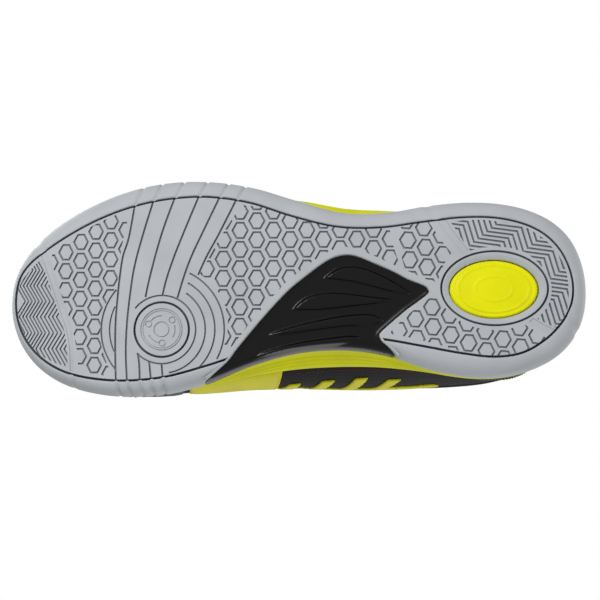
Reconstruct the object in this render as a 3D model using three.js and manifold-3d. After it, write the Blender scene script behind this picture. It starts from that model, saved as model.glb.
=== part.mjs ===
// Left-foot indoor court shoe, men's EU 42, as an assembly of its sole unit, lasted upper,
// stiffeners, linings, insole, tongue and lacing.
// Frame: +Z up, toe towards -Y, lateral (outer) side towards +X, ground plane at z = 0.
// All dimensions are millimetres. The origin is on the ground under the middle of the sole.
import * as THREE from "three";
import { mergeVertices } from "three/addons/utils/BufferGeometryUtils.js";
import Module from "manifold-3d";

const wasm = await Module();
wasm.setup();

// ---------------------------------------------------------------- driving dimensions
const ORIGIN_X = 2.284, ORIGIN_Y = -1.6; // middle of the sole in the pattern's own coordinates
const TREAD_BASE = 4.0; // rubber thickness under the midsole
const RIM_TOP = 12.5; // height of the outsole's cup wall above its own tread
const RIM_WALL = 2.8; // thickness of the cup wall
const CUP_CORNER = 3.6; // extra inset of the cup's floor at the corner
const GAP = 0.3; // working gap between stacked pieces
const GROOVE_W = 1.5; // tread groove width
const GROOVE_D = 1.5; // tread groove depth
const SKIN = 1.5; // upper skin thickness
const PAD_IN = 7.0; // collar foam reaches this far inside the skin
const TONGUE_OUT = -5.0; // tongue outer face, measured inward from the upper's outer face
const TONGUE_IN = -10.0;
const LACE_R = 1.3; // lace cord radius
const EYELET_HOLE_R = 2.2;
const EYELET_RING_R = 3.7;
const LACE_OVER = 4.7; // lace centre above the upper skin where it lies on the eyestay
const LACE_UNDER = -3.1; // lace centre under the eyestay
const INSOLE_FOAM = 4.4;
const INSOLE_CLOTH = 0.8;
const BOARD = 1.4;

// ---------------------------------------------------------------- small maths
const clamp = (v, a, b) => Math.min(b, Math.max(a, v));
const lerp = (a, b, t) => a + (b - a) * t;

// Smooth curve through a table of [x, y] pairs (non-uniform Catmull-Rom).
function curve(table) {
  const xs = table.map((r) => r[0]), ys = table.map((r) => r[1]), n = xs.length;
  const m = ys.map((_, i) => {
    if (i === 0) return (ys[1] - ys[0]) / (xs[1] - xs[0]);
    if (i === n - 1) return (ys[n - 1] - ys[n - 2]) / (xs[n - 1] - xs[n - 2]);
    const h0 = xs[i] - xs[i - 1], h1 = xs[i + 1] - xs[i];
    const d0 = (ys[i] - ys[i - 1]) / h0, d1 = (ys[i + 1] - ys[i]) / h1;
    return (d0 * h1 + d1 * h0) / (h0 + h1);
  });
  return (x) => {
    if (x <= xs[0]) return ys[0];
    if (x >= xs[n - 1]) return ys[n - 1];
    let i = 0;
    while (x > xs[i + 1]) i++;
    const h = xs[i + 1] - xs[i], t = (x - xs[i]) / h, t2 = t * t, t3 = t2 * t;
    return (2 * t3 - 3 * t2 + 1) * ys[i] + (t3 - 2 * t2 + t) * h * m[i] + (-2 * t3 + 3 * t2) * ys[i + 1] + (t3 - t2) * h * m[i + 1];
  };
}
// A table given at equal steps of the station angle, 0 at the toe and PI at the heel.
const byAngle = (v) => curve(v.map((y, i) => [(i * Math.PI) / (v.length - 1), y]));

// ---------------------------------------------------------------- the sole's shape
// Rise of the tread above the ground: toe spring and heel bevel.
function spring(y) {
  const a = Math.max(0, -70 - y), b = Math.max(0, y - 112);
  return 0.0026 * a * a + 0.0035 * b * b;
}
// Outlines, each with its own length, x at equal station angles for the lateral and medial sides.
const OUTLINE = {
  widest: { // the cup wall at its widest
    y0: -151.4, y1: 148.2,
    lat: byAngle([-3, 9.9, 21, 30.8, 39.6, 47.5, 54.1, 58.3, 59.0, 55.8, 48.8, 42.6, 42.6, 46.2, 48.0, 47.1, 43.4, 37.2, 28.1, 15.6, 1.4]),
    med: byAngle([-3, -15.6, -27.8, -38.4, -46.6, -51.8, -54.2, -53.2, -47.6, -38.6, -32.3, -30.6, -33.2, -40.2, -44.2, -44.0, -40.0, -33.4, -24.0, -12.4, 1.4]),
  },
  tread: { // edge of the flat tread
    y0: -149.2, y1: 141.4,
    lat: byAngle([-3, 8.6, 16.6, 23.4, 30.7, 38.1, 44.4, 48.7, 50.0, 46.9, 39.6, 34.2, 33.8, 36.6, 39.0, 39.1, 36.3, 30.9, 22.6, 12.0, 1.1]),
    med: byAngle([-3, -15.0, -26.0, -35.4, -42.4, -46.3, -47.7, -45.9, -40.2, -33.0, -27.4, -25.0, -26.2, -29.8, -33.4, -35.4, -33.4, -26.7, -18.0, -8.8, 1.1]),
  },
  feather: { // where the upper meets the midsole
    y0: -142, y1: 139,
    lat: byAngle([-3, 9, 19.5, 28.5, 37, 44, 50, 53.5, 54, 51.2, 46.6, 43, 41.4, 41.2, 40.4, 38.4, 35.0, 29.8, 22.5, 12.5, 1.4]),
    med: byAngle([-3, -14, -26, -36, -43.5, -48, -49.5, -48.2, -44.5, -39.8, -36.2, -34.6, -34.6, -36.3, -37.4, -36.9, -34, -28.5, -20.5, -10, 1.4]),
  },
};
// Height of the feather line above the ground.
const featherZ = curve([[-141, 29], [-120, 24.2], [-90, 20], [-60, 18.6], [-20, 20], [20, 23.5], [60, 26.5], [100, 28.5], [139, 31]]);

// Outline as matched lateral and medial point rows, pushed out by d along the plan normal.
function rows(name, n, d = 0) {
  const o = OUTLINE[name], yc = (o.y0 + o.y1) / 2, ya = (o.y1 - o.y0) / 2, lat = [], med = [];
  const dist = typeof d === "function" ? d : () => d;
  for (let i = 0; i <= n; i++) {
    const th = (i * Math.PI) / n, y = yc - ya * Math.cos(th);
    lat.push([o.lat(th), y]);
    med.push([o.med(th), y]);
  }
  const loop = [...lat, ...med.slice(1, -1).reverse()], L = loop.length;
  const out = loop.map((p, i) => {
    const a = loop[(i + L - 1) % L], b = loop[(i + 1) % L];
    let tx = b[0] - a[0], ty = b[1] - a[1];
    const l = Math.hypot(tx, ty);
    const s = dist(p[0], p[1]);
    return [p[0] + (ty / l) * s, p[1] - (tx / l) * s, ty / l, -tx / l];
  });
  const rl = out.slice(0, n + 1);
  const rm = [out[0], ...out.slice(n + 1).reverse(), out[n]];
  return { lat: rl, med: rm };
}

// ---------------------------------------------------------------- mesh and solid helpers
function geometryOf(vertices, faces) {
  const g = new THREE.BufferGeometry();
  g.setAttribute("position", new THREE.BufferAttribute(new Float32Array(vertices.flat()), 3));
  g.setIndex(faces.flat());
  return g;
}
function cleaned(g) {
  const plain = new THREE.BufferGeometry();
  plain.setAttribute("position", (g.index ? g.toNonIndexed() : g).getAttribute("position"));
  const m = mergeVertices(plain, 1e-3), ix = m.index.array, keep = [];
  for (let i = 0; i < ix.length; i += 3)
    if (ix[i] !== ix[i + 1] && ix[i + 1] !== ix[i + 2] && ix[i] !== ix[i + 2]) keep.push(ix[i], ix[i + 1], ix[i + 2]);
  m.setIndex(keep);
  return m;
}
function solid(g) {
  const m = cleaned(g);
  return new wasm.Manifold(new wasm.Mesh({
    numProp: 3,
    vertProperties: new Float32Array(m.attributes.position.array),
    triVerts: new Uint32Array(m.index.array),
  }));
}
function back(s) {
  const m = s.getMesh(), n = m.numProp, v = new Float32Array(m.numVert * 3);
  for (let i = 0; i < m.numVert; i++) v.set(m.vertProperties.subarray(i * n, i * n + 3), i * 3);
  const g = new THREE.BufferGeometry();
  g.setAttribute("position", new THREE.BufferAttribute(v, 3));
  g.setIndex(Array.from(m.triVerts));
  g.computeVertexNormals();
  return g;
}
// The biggest body of a solid, for cuts that could leave a crumb behind.
function biggest(s) {
  return s.decompose().sort((a, b) => b.volume() - a.volume())[0];
}

// Solid from stacked outlines: levels of {lat, med} rows with a height rule z(x, y).
function stacked(levels, across = 6) {
  const n = levels[0].lat.length - 1, K = levels.length - 1, v = [], f = [];
  const ring = [];
  const at = (lv, p) => [p[0], p[1], lv.z(p[0], p[1])];
  for (let i = 0; i <= n; i++) {
    const r = [];
    const b = levels[0], t = levels[K];
    for (let j = 0; j <= across; j++) {
      const s = j / across;
      r.push(at(b, [lerp(b.med[i][0], b.lat[i][0], s), lerp(b.med[i][1], b.lat[i][1], s)]));
    }
    for (let k = 1; k < K; k++) r.push(at(levels[k], levels[k].lat[i]));
    for (let j = across; j >= 0; j--) {
      const s = j / across;
      r.push(at(t, [lerp(t.med[i][0], t.lat[i][0], s), lerp(t.med[i][1], t.lat[i][1], s)]));
    }
    for (let k = K - 1; k >= 1; k--) r.push(at(levels[k], levels[k].med[i]));
    ring.push(r);
  }
  const R = ring[0].length;
  ring.forEach((r) => r.forEach((p) => v.push(p)));
  for (let i = 0; i < n; i++)
    for (let j = 0; j < R; j++) {
      const a = i * R + j, b = i * R + ((j + 1) % R), c = (i + 1) * R + j, d = (i + 1) * R + ((j + 1) % R);
      f.push([a, b, d], [a, d, c]);
    }
  let s = solid(geometryOf(v, f));
  if (s.volume() < 0) s = solid(geometryOf(v, f.map(([a, b, c]) => [a, c, b])));
  return s;
}

// Upright prism over a plan polygon, between two heights that can follow the toe spring.
function prism(points, z0, z1, follow = false) {
  const sh = new THREE.Shape(points.map((p) => new THREE.Vector2(p[0], p[1])));
  const g = new THREE.ExtrudeGeometry(sh, { depth: 1, bevelEnabled: false, steps: 1 });
  const p = g.getAttribute("position");
  for (let i = 0; i < p.count; i++) {
    const s = follow ? spring(p.getY(i)) : 0;
    p.setZ(i, s + (p.getZ(i) > 0.5 ? z1 : z0));
  }
  return solid(g);
}
// Prism over a side-view polygon of (y, z) points, between two x values.
function sidePrism(points, x0, x1) {
  const sh = new THREE.Shape(points.map((p) => new THREE.Vector2(p[0], p[1])));
  const g = new THREE.ExtrudeGeometry(sh, { depth: x1 - x0, bevelEnabled: false, steps: 1 });
  const p = g.getAttribute("position");
  for (let i = 0; i < p.count; i++) {
    const y = p.getX(i), z = p.getY(i), x = p.getZ(i) + x0;
    p.setXYZ(i, x, y, z);
  }
  return solid(g);
}
// Ribbon polygon of a given width along a polyline.
function ribbon(pts, w) {
  const L = [], R = [];
  pts.forEach((p, i) => {
    const a = pts[Math.max(0, i - 1)], b = pts[Math.min(pts.length - 1, i + 1)];
    const l = Math.hypot(b[0] - a[0], b[1] - a[1]), nx = -(b[1] - a[1]) / l, ny = (b[0] - a[0]) / l;
    L.push([p[0] + (nx * w) / 2, p[1] + (ny * w) / 2]);
    R.push([p[0] - (nx * w) / 2, p[1] - (ny * w) / 2]);
  });
  return [...L, ...R.reverse()];
}
const ellipse = (cx, cy, rx, ry, n = 28) => Array.from({ length: n }, (_, i) => {
  const a = (2 * Math.PI * i) / n;
  return [cx + rx * Math.cos(a), cy + ry * Math.sin(a)];
});
// Tube along points.
function tube(points, r, segs, sides = 6, closed = false) {
  const path = new THREE.CatmullRomCurve3(points.map((p) => new THREE.Vector3(...p)), closed, "catmullrom", 0.35);
  const sh = new THREE.Shape(ellipse(0, 0, r, r, sides).map((p) => new THREE.Vector2(...p)));
  return solid(new THREE.ExtrudeGeometry(sh, { steps: segs, bevelEnabled: false, extrudePath: path }));
}

// ---------------------------------------------------------------- assembly bookkeeping
const shoe = new THREE.Group();
const rubberGrey = new THREE.MeshStandardMaterial({ color: 0xb4b9bd, roughness: 0.62, metalness: 0 });
const foamYellow = new THREE.MeshStandardMaterial({ color: 0xe2e300, roughness: 0.55, metalness: 0 });
const gelYellow = new THREE.MeshStandardMaterial({ color: 0xf2ee00, roughness: 0.4, metalness: 0 });
const glossBlack = new THREE.MeshStandardMaterial({ color: 0x0c0c0e, roughness: 0.16, metalness: 0 });
const meshBlack = new THREE.MeshStandardMaterial({ color: 0x242428, roughness: 0.85, metalness: 0 });
const filmBlack = new THREE.MeshStandardMaterial({ color: 0x1a1a1c, roughness: 0.45, metalness: 0 });
const filmYellow = new THREE.MeshStandardMaterial({ color: 0xe0d820, roughness: 0.45, metalness: 0 });
const liningGrey = new THREE.MeshStandardMaterial({ color: 0x35363a, roughness: 0.9, metalness: 0 });
const boardWhite = new THREE.MeshStandardMaterial({ color: 0xd8d4c8, roughness: 0.9, metalness: 0 });
const laceYellow = new THREE.MeshStandardMaterial({ color: 0xe4e022, roughness: 0.8, metalness: 0 });
function put(name, s, material) {
  const m = new THREE.Mesh(back(s), material);
  m.name = name;
  m.position.set(-ORIGIN_X, -ORIGIN_Y, 0);
  shoe.add(m);
}

// ================================================================ SOLE UNIT
const NS = 22; // stations along the sole
const onSpring = (h) => (x, y) => spring(y) + h;

// Plan outlines of the openings in the tread.
const SHANK_WINDOW = [
  [-46.5, -48.5], [-37.6, -38.2], [-30.6, -32.9], [-19.6, -24.0], [-9.2, -15.1], [0.3, -6.2], [7.6, 2.6],
  [14.4, 11.5], [17.5, 17.4], [18.7, 23.4], [17.8, 29.3], [14.1, 38.2], [9.7, 48.0], [5.8, 55.2],
  [2.9, 62.6], [0.9, 65.4], [-2.2, 65.0], [-10.0, 54.7], [-16.2, 47.4], [-22.2, 40.9], [-24.8, 40.6],
  [-27.2, 42.2], [-30.0, 45.6], [-34.5, 50.0], [-60, 66], [-64, -40],
];
const HEEL_C = [0.8, 99.6], HEEL_R = [15.5, 23.3];

const outerRows = (d, name = "widest") => rows(name, NS, d);
let outsole = stacked([
  { ...outerRows(0, "tread"), z: onSpring(0) },
  { ...outerRows(-2.4), z: onSpring(2.0) },
  { ...outerRows(-0.4), z: onSpring(5.2) },
  { ...outerRows(0), z: onSpring(8.2) },
  { ...outerRows(-0.7), z: onSpring(RIM_TOP) },
], 5);
const cupCavity = stacked([
  { ...outerRows(-RIM_WALL - CUP_CORNER), z: onSpring(TREAD_BASE) },
  { ...outerRows(-RIM_WALL - 1.0), z: onSpring(TREAD_BASE + 2.4) },
  { ...outerRows(-RIM_WALL + 0.4), z: onSpring(RIM_TOP + 4) },
], 5);
outsole = outsole.subtract(cupCavity);
outsole = outsole.subtract(prism(SHANK_WINDOW, -20, 40));
outsole = outsole.subtract(prism(ellipse(...HEEL_C, ...HEEL_R, 32), -20, 40));
// Flexing grooves across the forefoot, from the lateral rim to the medial rim.
const FLEX = [
  [[43.5, -87.2], [24, -95.5], [5, -99.5], [-16, -100.5], [-42.5, -99.5]],
  [[46, -76.5], [26, -85.0], [6, -90.2], [-16, -91.9], [-42.5, -91.3]],
  [[48, -64.8], [32, -73.0], [17, -79.5], [3, -84.2]],
  [[49, -52.8], [34, -60.5], [20, -66.5], [8, -71.0]],
  [[48.5, -41.3], [34, -50.0], [20, -57.2], [8, -62.4]],
  [[47, -31.5], [34, -39.5], [22, -46.2], [15, -50.2]],
];
for (const g of FLEX) {
  const c = new THREE.SplineCurve(g.map((p) => new THREE.Vector2(...p))).getPoints(8).map((p) => [p.x, p.y]);
  outsole = outsole.subtract(prism(ribbon(c, GROOVE_W), -4, GROOVE_D, true));
}
// Turning-point disc under the ball of the foot: a ring groove.
const PIVOT = [-19.6, -72.8];
const ring = (c, r, w, z0, z1, n = 28) => prism(ellipse(...c, r + w / 2, r + w / 2, n), z0, z1, true).subtract(prism(ellipse(...c, r - w / 2, r - w / 2, n), z0 - 1, z1 + 1, true));
outsole = outsole.subtract(ring(PIVOT, 13.9, GROOVE_W, -4, 2.0));
outsole = biggest(outsole);
put("outsole", outsole, rubberGrey);

// Arch shank: a moulded plate that fills the arch window and rises at the medial edge.
const windowIn = (() => {
  const p = SHANK_WINDOW, L = p.length, out = [];
  for (let i = 0; i < L; i++) {
    const a = p[(i + L - 1) % L], b = p[(i + 1) % L], l = Math.hypot(b[0] - a[0], b[1] - a[1]);
    out.push([p[i][0] - ((b[1] - a[1]) / l) * 0.45, p[i][1] + ((b[0] - a[0]) / l) * 0.45]);
  }
  return out;
})();
let shankBody = stacked([
  { ...outerRows(-4.5), z: onSpring(1.4) },
  { ...outerRows(-2.0), z: onSpring(2.2) },
  { ...outerRows(-0.5), z: onSpring(5.5) },
  { ...outerRows(-0.4), z: onSpring(TREAD_BASE + 3.6) },
], 5);
let shank = biggest(shankBody.intersect(prism(windowIn, -20, 40)));
put("arch_shank", shank, glossBlack);

// Heel cushion: a domed plug showing through the oval window.
const heelPlug = prism(ellipse(...HEEL_C, HEEL_R[0] - GAP, HEEL_R[1] - GAP, 32), 0.7, 3.0, true)
  .add(prism(ellipse(...HEEL_C, HEEL_R[0] - 3.2, HEEL_R[1] - 3.2, 32), 0.2, 3.2, true))
  .add(prism(ellipse(...HEEL_C, HEEL_R[0] - GAP, HEEL_R[1] - GAP, 32), 2.9, TREAD_BASE + 3.5, true));
put("heel_cushion", heelPlug, gelYellow);

// Midsole: foam wedge standing in the outsole's cup.
const midRow = (d) => rows("widest", NS, d);
const featherRow = (d) => rows("feather", NS, d);
const between = (a, b, t) => ({
  lat: a.lat.map((p, i) => [lerp(p[0], b.lat[i][0], t), lerp(p[1], b.lat[i][1], t)]),
  med: a.med.map((p, i) => [lerp(p[0], b.med[i][0], t), lerp(p[1], b.med[i][1], t)]),
});
// The foam leans out over the narrow waist on the outer side.
const WAIST_FLARE = 3.2;
const flared = (row, k) => ({ lat: row.lat.map(([x, y]) => [x + WAIST_FLARE * k * Math.exp(-(((y - 25) / 32) ** 4)), y]), med: row.med });
const midTopZ = (x, y) => featherZ(y) - GAP;
const rimIn = midRow(-RIM_WALL - GAP), top = featherRow(1.6);
const rimZ = (x, y) => spring(y) + RIM_TOP + 0.3;
let midsole = stacked([
  { ...midRow(-RIM_WALL - CUP_CORNER - GAP - 0.2), z: onSpring(TREAD_BASE + GAP) },
  { ...midRow(-RIM_WALL - 1.0 - GAP), z: onSpring(TREAD_BASE + 2.4 + GAP) },
  { ...rimIn, z: rimZ },
  { ...flared(between(midRow(-0.6), top, 0.25), 0.8), z: (x, y) => Math.min(rimZ(x, y) + 1.2, midTopZ(x, y) - 1.5) },
  { ...flared(between(midRow(-0.2), top, 0.62), 1.0), z: (x, y) => lerp(Math.min(rimZ(x, y) + 1.2, midTopZ(x, y) - 1.5), midTopZ(x, y), 0.55) },
  { ...top, z: midTopZ },
], 5);
midsole = midsole.subtract(prism(SHANK_WINDOW, -20, TREAD_BASE + 3.9));
midsole = midsole.subtract(prism(ellipse(...HEEL_C, HEEL_R[0], HEEL_R[1], 32), -20, TREAD_BASE + 3.8, true));
put("midsole", biggest(midsole), foamYellow);

// ================================================================ LASTED UPPER
// Centre-line profile of the top of the foot.
const ridgeZ = curve([[-126, 49.4], [-112, 53.4], [-98, 57.0], [-84, 60.6], [-70, 65.0], [-55, 71.0], [-40, 78.0], [-20, 88.6], [0, 99.4], [20, 110], [36, 117.5], [52, 122.5], [75, 126], [100, 126], [120, 123], [132, 119]]);
const ridgeY = byAngle([-124, -120, -109, -92, -68, -39, -4, 32, 66, 94, 114, 126, 130]);
const ridgeX = byAngle([-3.5, -3.5, -3.4, -3.2, -2.6, -1.6, -0.6, 0, 0.6, 1, 1.2, 1.4, 1.4]);
const bulge = byAngle([3, 3.4, 4, 5, 6, 6, 5, 5, 5.5, 5.5, 5.5, 5, 4]);
const bulgeArch = byAngle([0, 0, 0, 0, 0.5, 7, 16, 16.5, 6.5, 0.5, 0, 0, 0]);
const rise = byAngle([11, 12, 14, 17, 20, 25, 32, 42, 52, 56, 55, 53, 52]);
const crown = byAngle([9, 13, 19, 25, 28, 27, 24, 24, 26, 26, 21, 13, 9]);

const NU = 20, MU = 5; // stations and rows per side of the lasted surface
function lastPoint(th, t, side, f, n) {
  const yr = ridgeY(th), e = 0.5, sl = (ridgeZ(yr + e) - ridgeZ(yr - e)) / (2 * e);
  const P0 = [f[0], f[1], featherZ(f[1]) + 0.6];
  const a = bulge(th) + (side < 0 ? bulgeArch(th) : 0);
  const P1 = [P0[0] + n[0] * a, P0[1] + n[1] * a, P0[2] + rise(th)];
  const P3 = [ridgeX(th), yr, ridgeZ(yr)];
  const c = crown(th);
  const P2 = [P3[0] + n[0] * c, P3[1] + n[1] * c, P3[2] + n[1] * c * sl];
  const u = 1 - t, b0 = u * u * u, b1 = 3 * u * u * t, b2 = 3 * u * t * t, b3 = t * t * t;
  const p = [0, 1, 2].map((k) => b0 * P0[k] + b1 * P1[k] + b2 * P2[k] + b3 * P3[k]);
  // hollow above the heel, where the collar hugs the tendon
  const h = Math.exp(-(((p[2] - 86) / 17) ** 2)) * clamp((p[1] - 95) / 45, 0, 1) * 3.2;
  return [p[0] - n[0] * h * 0.6, p[1] - Math.max(0, n[1]) * h, p[2]];
}
const dome = (() => {
  const fr = rows("feather", NU), v = [], f = [], C = 2 * MU + 1;
  for (let i = 0; i <= NU; i++) {
    const th = (i * Math.PI) / NU;
    const fl = fr.lat[i], fm = fr.med[i];
    const nl = i === 0 ? [0, -1] : i === NU ? [0, 1] : [fl[2], fl[3]];
    const nm = i === 0 ? [0, -1] : i === NU ? [0, 1] : [fm[2], fm[3]];
    for (let j = 0; j < C; j++) {
      if (j <= MU) v.push(lastPoint(th, j / MU, 1, fl, nl));
      else v.push(lastPoint(th, (C - 1 - j) / MU, -1, fm, nm));
    }
  }
  for (let i = 0; i < NU; i++)
    for (let j = 0; j < C - 1; j++) {
      const a = i * C + j, b = a + 1, c = a + C, d = c + 1;
      f.push([a, c, d], [a, d, b]);
    }
  const m = cleaned(geometryOf(v, f));
  m.computeVertexNormals();
  return m;
})();
// Make sure the dome's faces look outward.
(() => {
  const p = dome.attributes.position, n = dome.attributes.normal;
  let s = 0;
  for (let i = 0; i < p.count; i++) s += p.getX(i) * n.getX(i) + (p.getZ(i) - 40) * n.getZ(i);
  if (s < 0) {
    const ix = dome.index.array;
    for (let i = 0; i < ix.length; i += 3) [ix[i + 1], ix[i + 2]] = [ix[i + 2], ix[i + 1]];
    dome.computeVertexNormals();
  }
})();
const domeV = [], domeN = [], domeF = [];
for (let i = 0; i < dome.attributes.position.count; i++) {
  domeV.push([dome.attributes.position.getX(i), dome.attributes.position.getY(i), dome.attributes.position.getZ(i)]);
  domeN.push([dome.attributes.normal.getX(i), dome.attributes.normal.getY(i), dome.attributes.normal.getZ(i)]);
}
for (let i = 0; i < dome.index.array.length; i += 3) domeF.push([dome.index.array[i], dome.index.array[i + 1], dome.index.array[i + 2]]);
const offs = (o) => domeV.map((p, i) => [0, 1, 2].map((k) => p[k] + domeN[i][k] * o));

// Closed skin of the lasted surface between two offsets, open underneath.
function skin(outer, inner) {
  const V = domeV.length, v = [...offs(outer), ...offs(inner)], f = [];
  const edges = new Map();
  for (const [a, b, c] of domeF) {
    f.push([a, b, c], [a + V, c + V, b + V]);
    for (const [p, q] of [[a, b], [b, c], [c, a]]) {
      const k = q + "_" + p;
      if (edges.has(k)) edges.delete(k);
      else edges.set(p + "_" + q, [p, q]);
    }
  }
  for (const [p, q] of edges.values()) f.push([q, p, p + V], [q, p + V, q + V]);
  return solid(geometryOf(v, f));
}
// Point on the lasted surface straight above (x, y), pushed out by off.
function onTop(x, y, off) {
  let best = null;
  for (const [a, b, c] of domeF) {
    const A = domeV[a], B = domeV[b], C = domeV[c];
    const d = (B[0] - A[0]) * (C[1] - A[1]) - (C[0] - A[0]) * (B[1] - A[1]);
    if (Math.abs(d) < 1e-9) continue;
    const u = ((x - A[0]) * (C[1] - A[1]) - (C[0] - A[0]) * (y - A[1])) / d;
    const w = ((B[0] - A[0]) * (y - A[1]) - (x - A[0]) * (B[1] - A[1])) / d;
    if (u < -1e-6 || w < -1e-6 || u + w > 1 + 1e-6) continue;
    const z = A[2] + u * (B[2] - A[2]) + w * (C[2] - A[2]);
    if (best && z <= best.p[2]) continue;
    const n = [0, 1, 2].map((k) => (1 - u - w) * domeN[a][k] + u * domeN[b][k] + w * domeN[c][k]);
    const l = Math.hypot(...n);
    best = { p: [x, y, z], n: n.map((q) => q / l) };
  }
  if (!best) throw new Error("no surface above " + x + ", " + y);
  return { n: best.n, p: best.p.map((q, k) => q + best.n[k] * off) };
}

// Openings. The collar line is drawn in the side view, the throat in plan.
const COLLAR = [[14, 104.5], [24, 99.5], [36, 92], [50, 84], [66, 77.5], [82, 74.5], [98, 76], [112, 82], [124, 90], [134, 95], [150, 97]];
const collarCut = (drop) => sidePrism([[14, 260], ...COLLAR.map(([y, z]) => [y, z - drop]), [170, 97 - drop], [170, 260]], -90, 90);
const throatCut = (grow) => prism([
  [-13.5 - grow, -36], [-11.5 - grow, -42 - grow * 0.5], [-5, -46.5 - grow * 0.6], [2, -46.5 - grow * 0.6], [9 + grow, -42 - grow * 0.5], [11.5 + grow, -36],
  [18.5 + grow, 14], [24 + grow, 60], [-25 - grow, 60], [-19 - grow, 14],
], 40, 260);
// Vamp in front of this side-view line, quarters behind it.
const SEAM = [[-8, -40], [-12, 20], [-22, 40], [-36, 58], [-50, 76], [-54, 260]];
const ahead = (shift) => sidePrism([[-220, -40], ...SEAM.map(([y, z]) => [y + shift, z]), [-220, 260]], -90, 90);
const sideOf = (s) => sidePrism([[-220, -40], [220, -40], [220, 260], [-220, 260]], s > 0 ? 1.4 + GAP / 2 : -120, s > 0 ? 120 : 1.4 - GAP / 2);

// Eyelet positions: distance from the centre line grows up the throat.
const EYELET_Y = [-37.5, -27.5, -17.5, -7.5, 2.0, 10.0];
const eyeletX = (y, s) => s * lerp(19.0, 25.6, (y + 37.5) / 47.5) - 1.0;
const eyelets = [];
for (const s of [1, -1]) EYELET_Y.forEach((y, i) => eyelets.push({ s, i, ...onTop(eyeletX(y, s), y, 0) }));
// A cylinder along a direction.
function rod(p, n, r, a, b, sides = 14) {
  const g = new THREE.CylinderGeometry(r, r, b - a, sides, 1);
  g.translate(0, (a + b) / 2, 0);
  g.applyQuaternion(new THREE.Quaternion().setFromUnitVectors(new THREE.Vector3(0, 1, 0), new THREE.Vector3(...n)));
  g.translate(...p);
  return solid(g);
}
let eyeletHoles = null;
for (const e of eyelets) {
  const h = rod(e.p, e.n, EYELET_HOLE_R, -6, 6, 8);
  eyeletHoles = eyeletHoles ? eyeletHoles.add(h) : h;
}

const outerSkin = skin(0, -SKIN).subtract(collarCut(0)).subtract(throatCut(0)).subtract(eyeletHoles);
put("vamp", biggest(outerSkin.intersect(ahead(-GAP / 2))), meshBlack);
const rear = outerSkin.subtract(ahead(GAP / 2));
put("quarter_lateral", biggest(rear.intersect(sideOf(1))), meshBlack);
put("quarter_medial", biggest(rear.intersect(sideOf(-1))), meshBlack);

// Overlays on the outside of the skin.
const overlay = skin(SKIN, GAP);
const toeRegion = sidePrism([[-220, -40], [-62, -40], [-62, 27], [-100, 36], [-128, 49], [-136, 60], [-220, 60]], -90, 90);
put("toe_cap", biggest(overlay.intersect(toeRegion)), filmBlack);
const eyestayBand = (s) => prism(s > 0
  ? [[-0.6, -62], [7, -60], [16, -52], [22.8, -40], [31.5, 12], [32, 40], [-0.6, 40]]
  : [[-1.2, -62], [-9, -60], [-18, -52], [-24.8, -40], [-33.0, 12], [-34, 40], [-1.2, 40]], 40, 260);
const stayStock = overlay.subtract(throatCut(0)).subtract(eyeletHoles).subtract(collarCut(0.5));
put("eyestay_lateral", biggest(stayStock.intersect(eyestayBand(1))), filmBlack);
put("eyestay_medial", biggest(stayStock.intersect(eyestayBand(-1))), filmBlack);
const heelRegion = sidePrism([[84, -40], [84, 34], [98, 50], [112, 66], [122, 84], [132, 91], [150, 93], [170, 93], [170, -40]], -90, 90);
put("heel_overlay", biggest(overlay.intersect(heelRegion)), filmBlack);
// Welded side panels: a patch at the ball of the foot, a rail under the eyestay and four slanting bars hanging from it.
const sideRegion = (s) => sidePrism(
  [[-58, -40], [-58, 27.5], [-46, 38], [-34, 50], [-22, 60], [-8, 66.5], [10, 70], [32, 71], [54, 68.5], [74, 60], [70, 55], [56, 59.5], [45.5, 60], [53, 42], [46, 42], [38.5, 60],
   [27.5, 60.5], [35.5, 38], [28.5, 38], [20.5, 60], [10, 59], [18, 38], [11, 38], [3, 58.5], [-7, 57], [0, 38], [-6.5, 38], [-14, 56], [-19, 52], [-12.5, 42], [-9.3, 20], [-9.3, -40]],
  s > 0 ? 4 : -90, s > 0 ? 90 : -4);
for (const [s, nm] of [[1, "side_overlay_lateral"], [-1, "side_overlay_medial"]])
  put(nm, biggest(overlay.intersect(sideRegion(s)).subtract(eyestayBand(s > 0 ? 1 : -1))), filmYellow);

// Stiffeners and linings inside the skin.
const inner1 = skin(-SKIN - GAP, -SKIN - GAP - 1.2);
put("toe_puff", biggest(inner1.intersect(sidePrism([[-220, -40], [-88, -40], [-96, 80], [-220, 80]], -90, 90))), boardWhite);
put("heel_counter", biggest(inner1.intersect(sidePrism([[62, -40], [62, 34], [80, 48], [104, 58], [170, 60], [170, -40]], -90, 90))), boardWhite);
const lining = skin(-3.3, -4.4).subtract(throatCut(18));
put("vamp_lining", biggest(lining.intersect(sidePrism([[-220, -40], [-14, -40], [-18, 20], [-30, 50], [-50, 260], [-220, 260]], -90, 90))), liningGrey);
const PADLINE = [[-13.4, -40], [-17.4, 20], [-22, 40], [-14, 62], [-4, 80], [8, 120], [41.6, 120], [41.6, 61.4], [62, 54], [90, 51], [116, 54], [134, 60], [170, 62], [170, -40]];
const rearLining = skin(-3.3, -4.4).subtract(throatCut(12)).subtract(collarCut(0.6)).intersect(sidePrism(PADLINE, -90, 90));
put("quarter_lining_lateral", biggest(rearLining.intersect(sideOf(1))), liningGrey);
put("quarter_lining_medial", biggest(rearLining.intersect(sideOf(-1))), liningGrey);
const padRegion = sidePrism([[42, 260], [42, 62.0], [62, 55.0], [90, 61], [116, 62], [134, 62], [170, 63], [170, 260]], -90, 90);
const foam = skin(-SKIN - GAP, -PAD_IN).subtract(collarCut(1.0)).intersect(padRegion);
put("collar_foam", biggest(foam), liningGrey);
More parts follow.
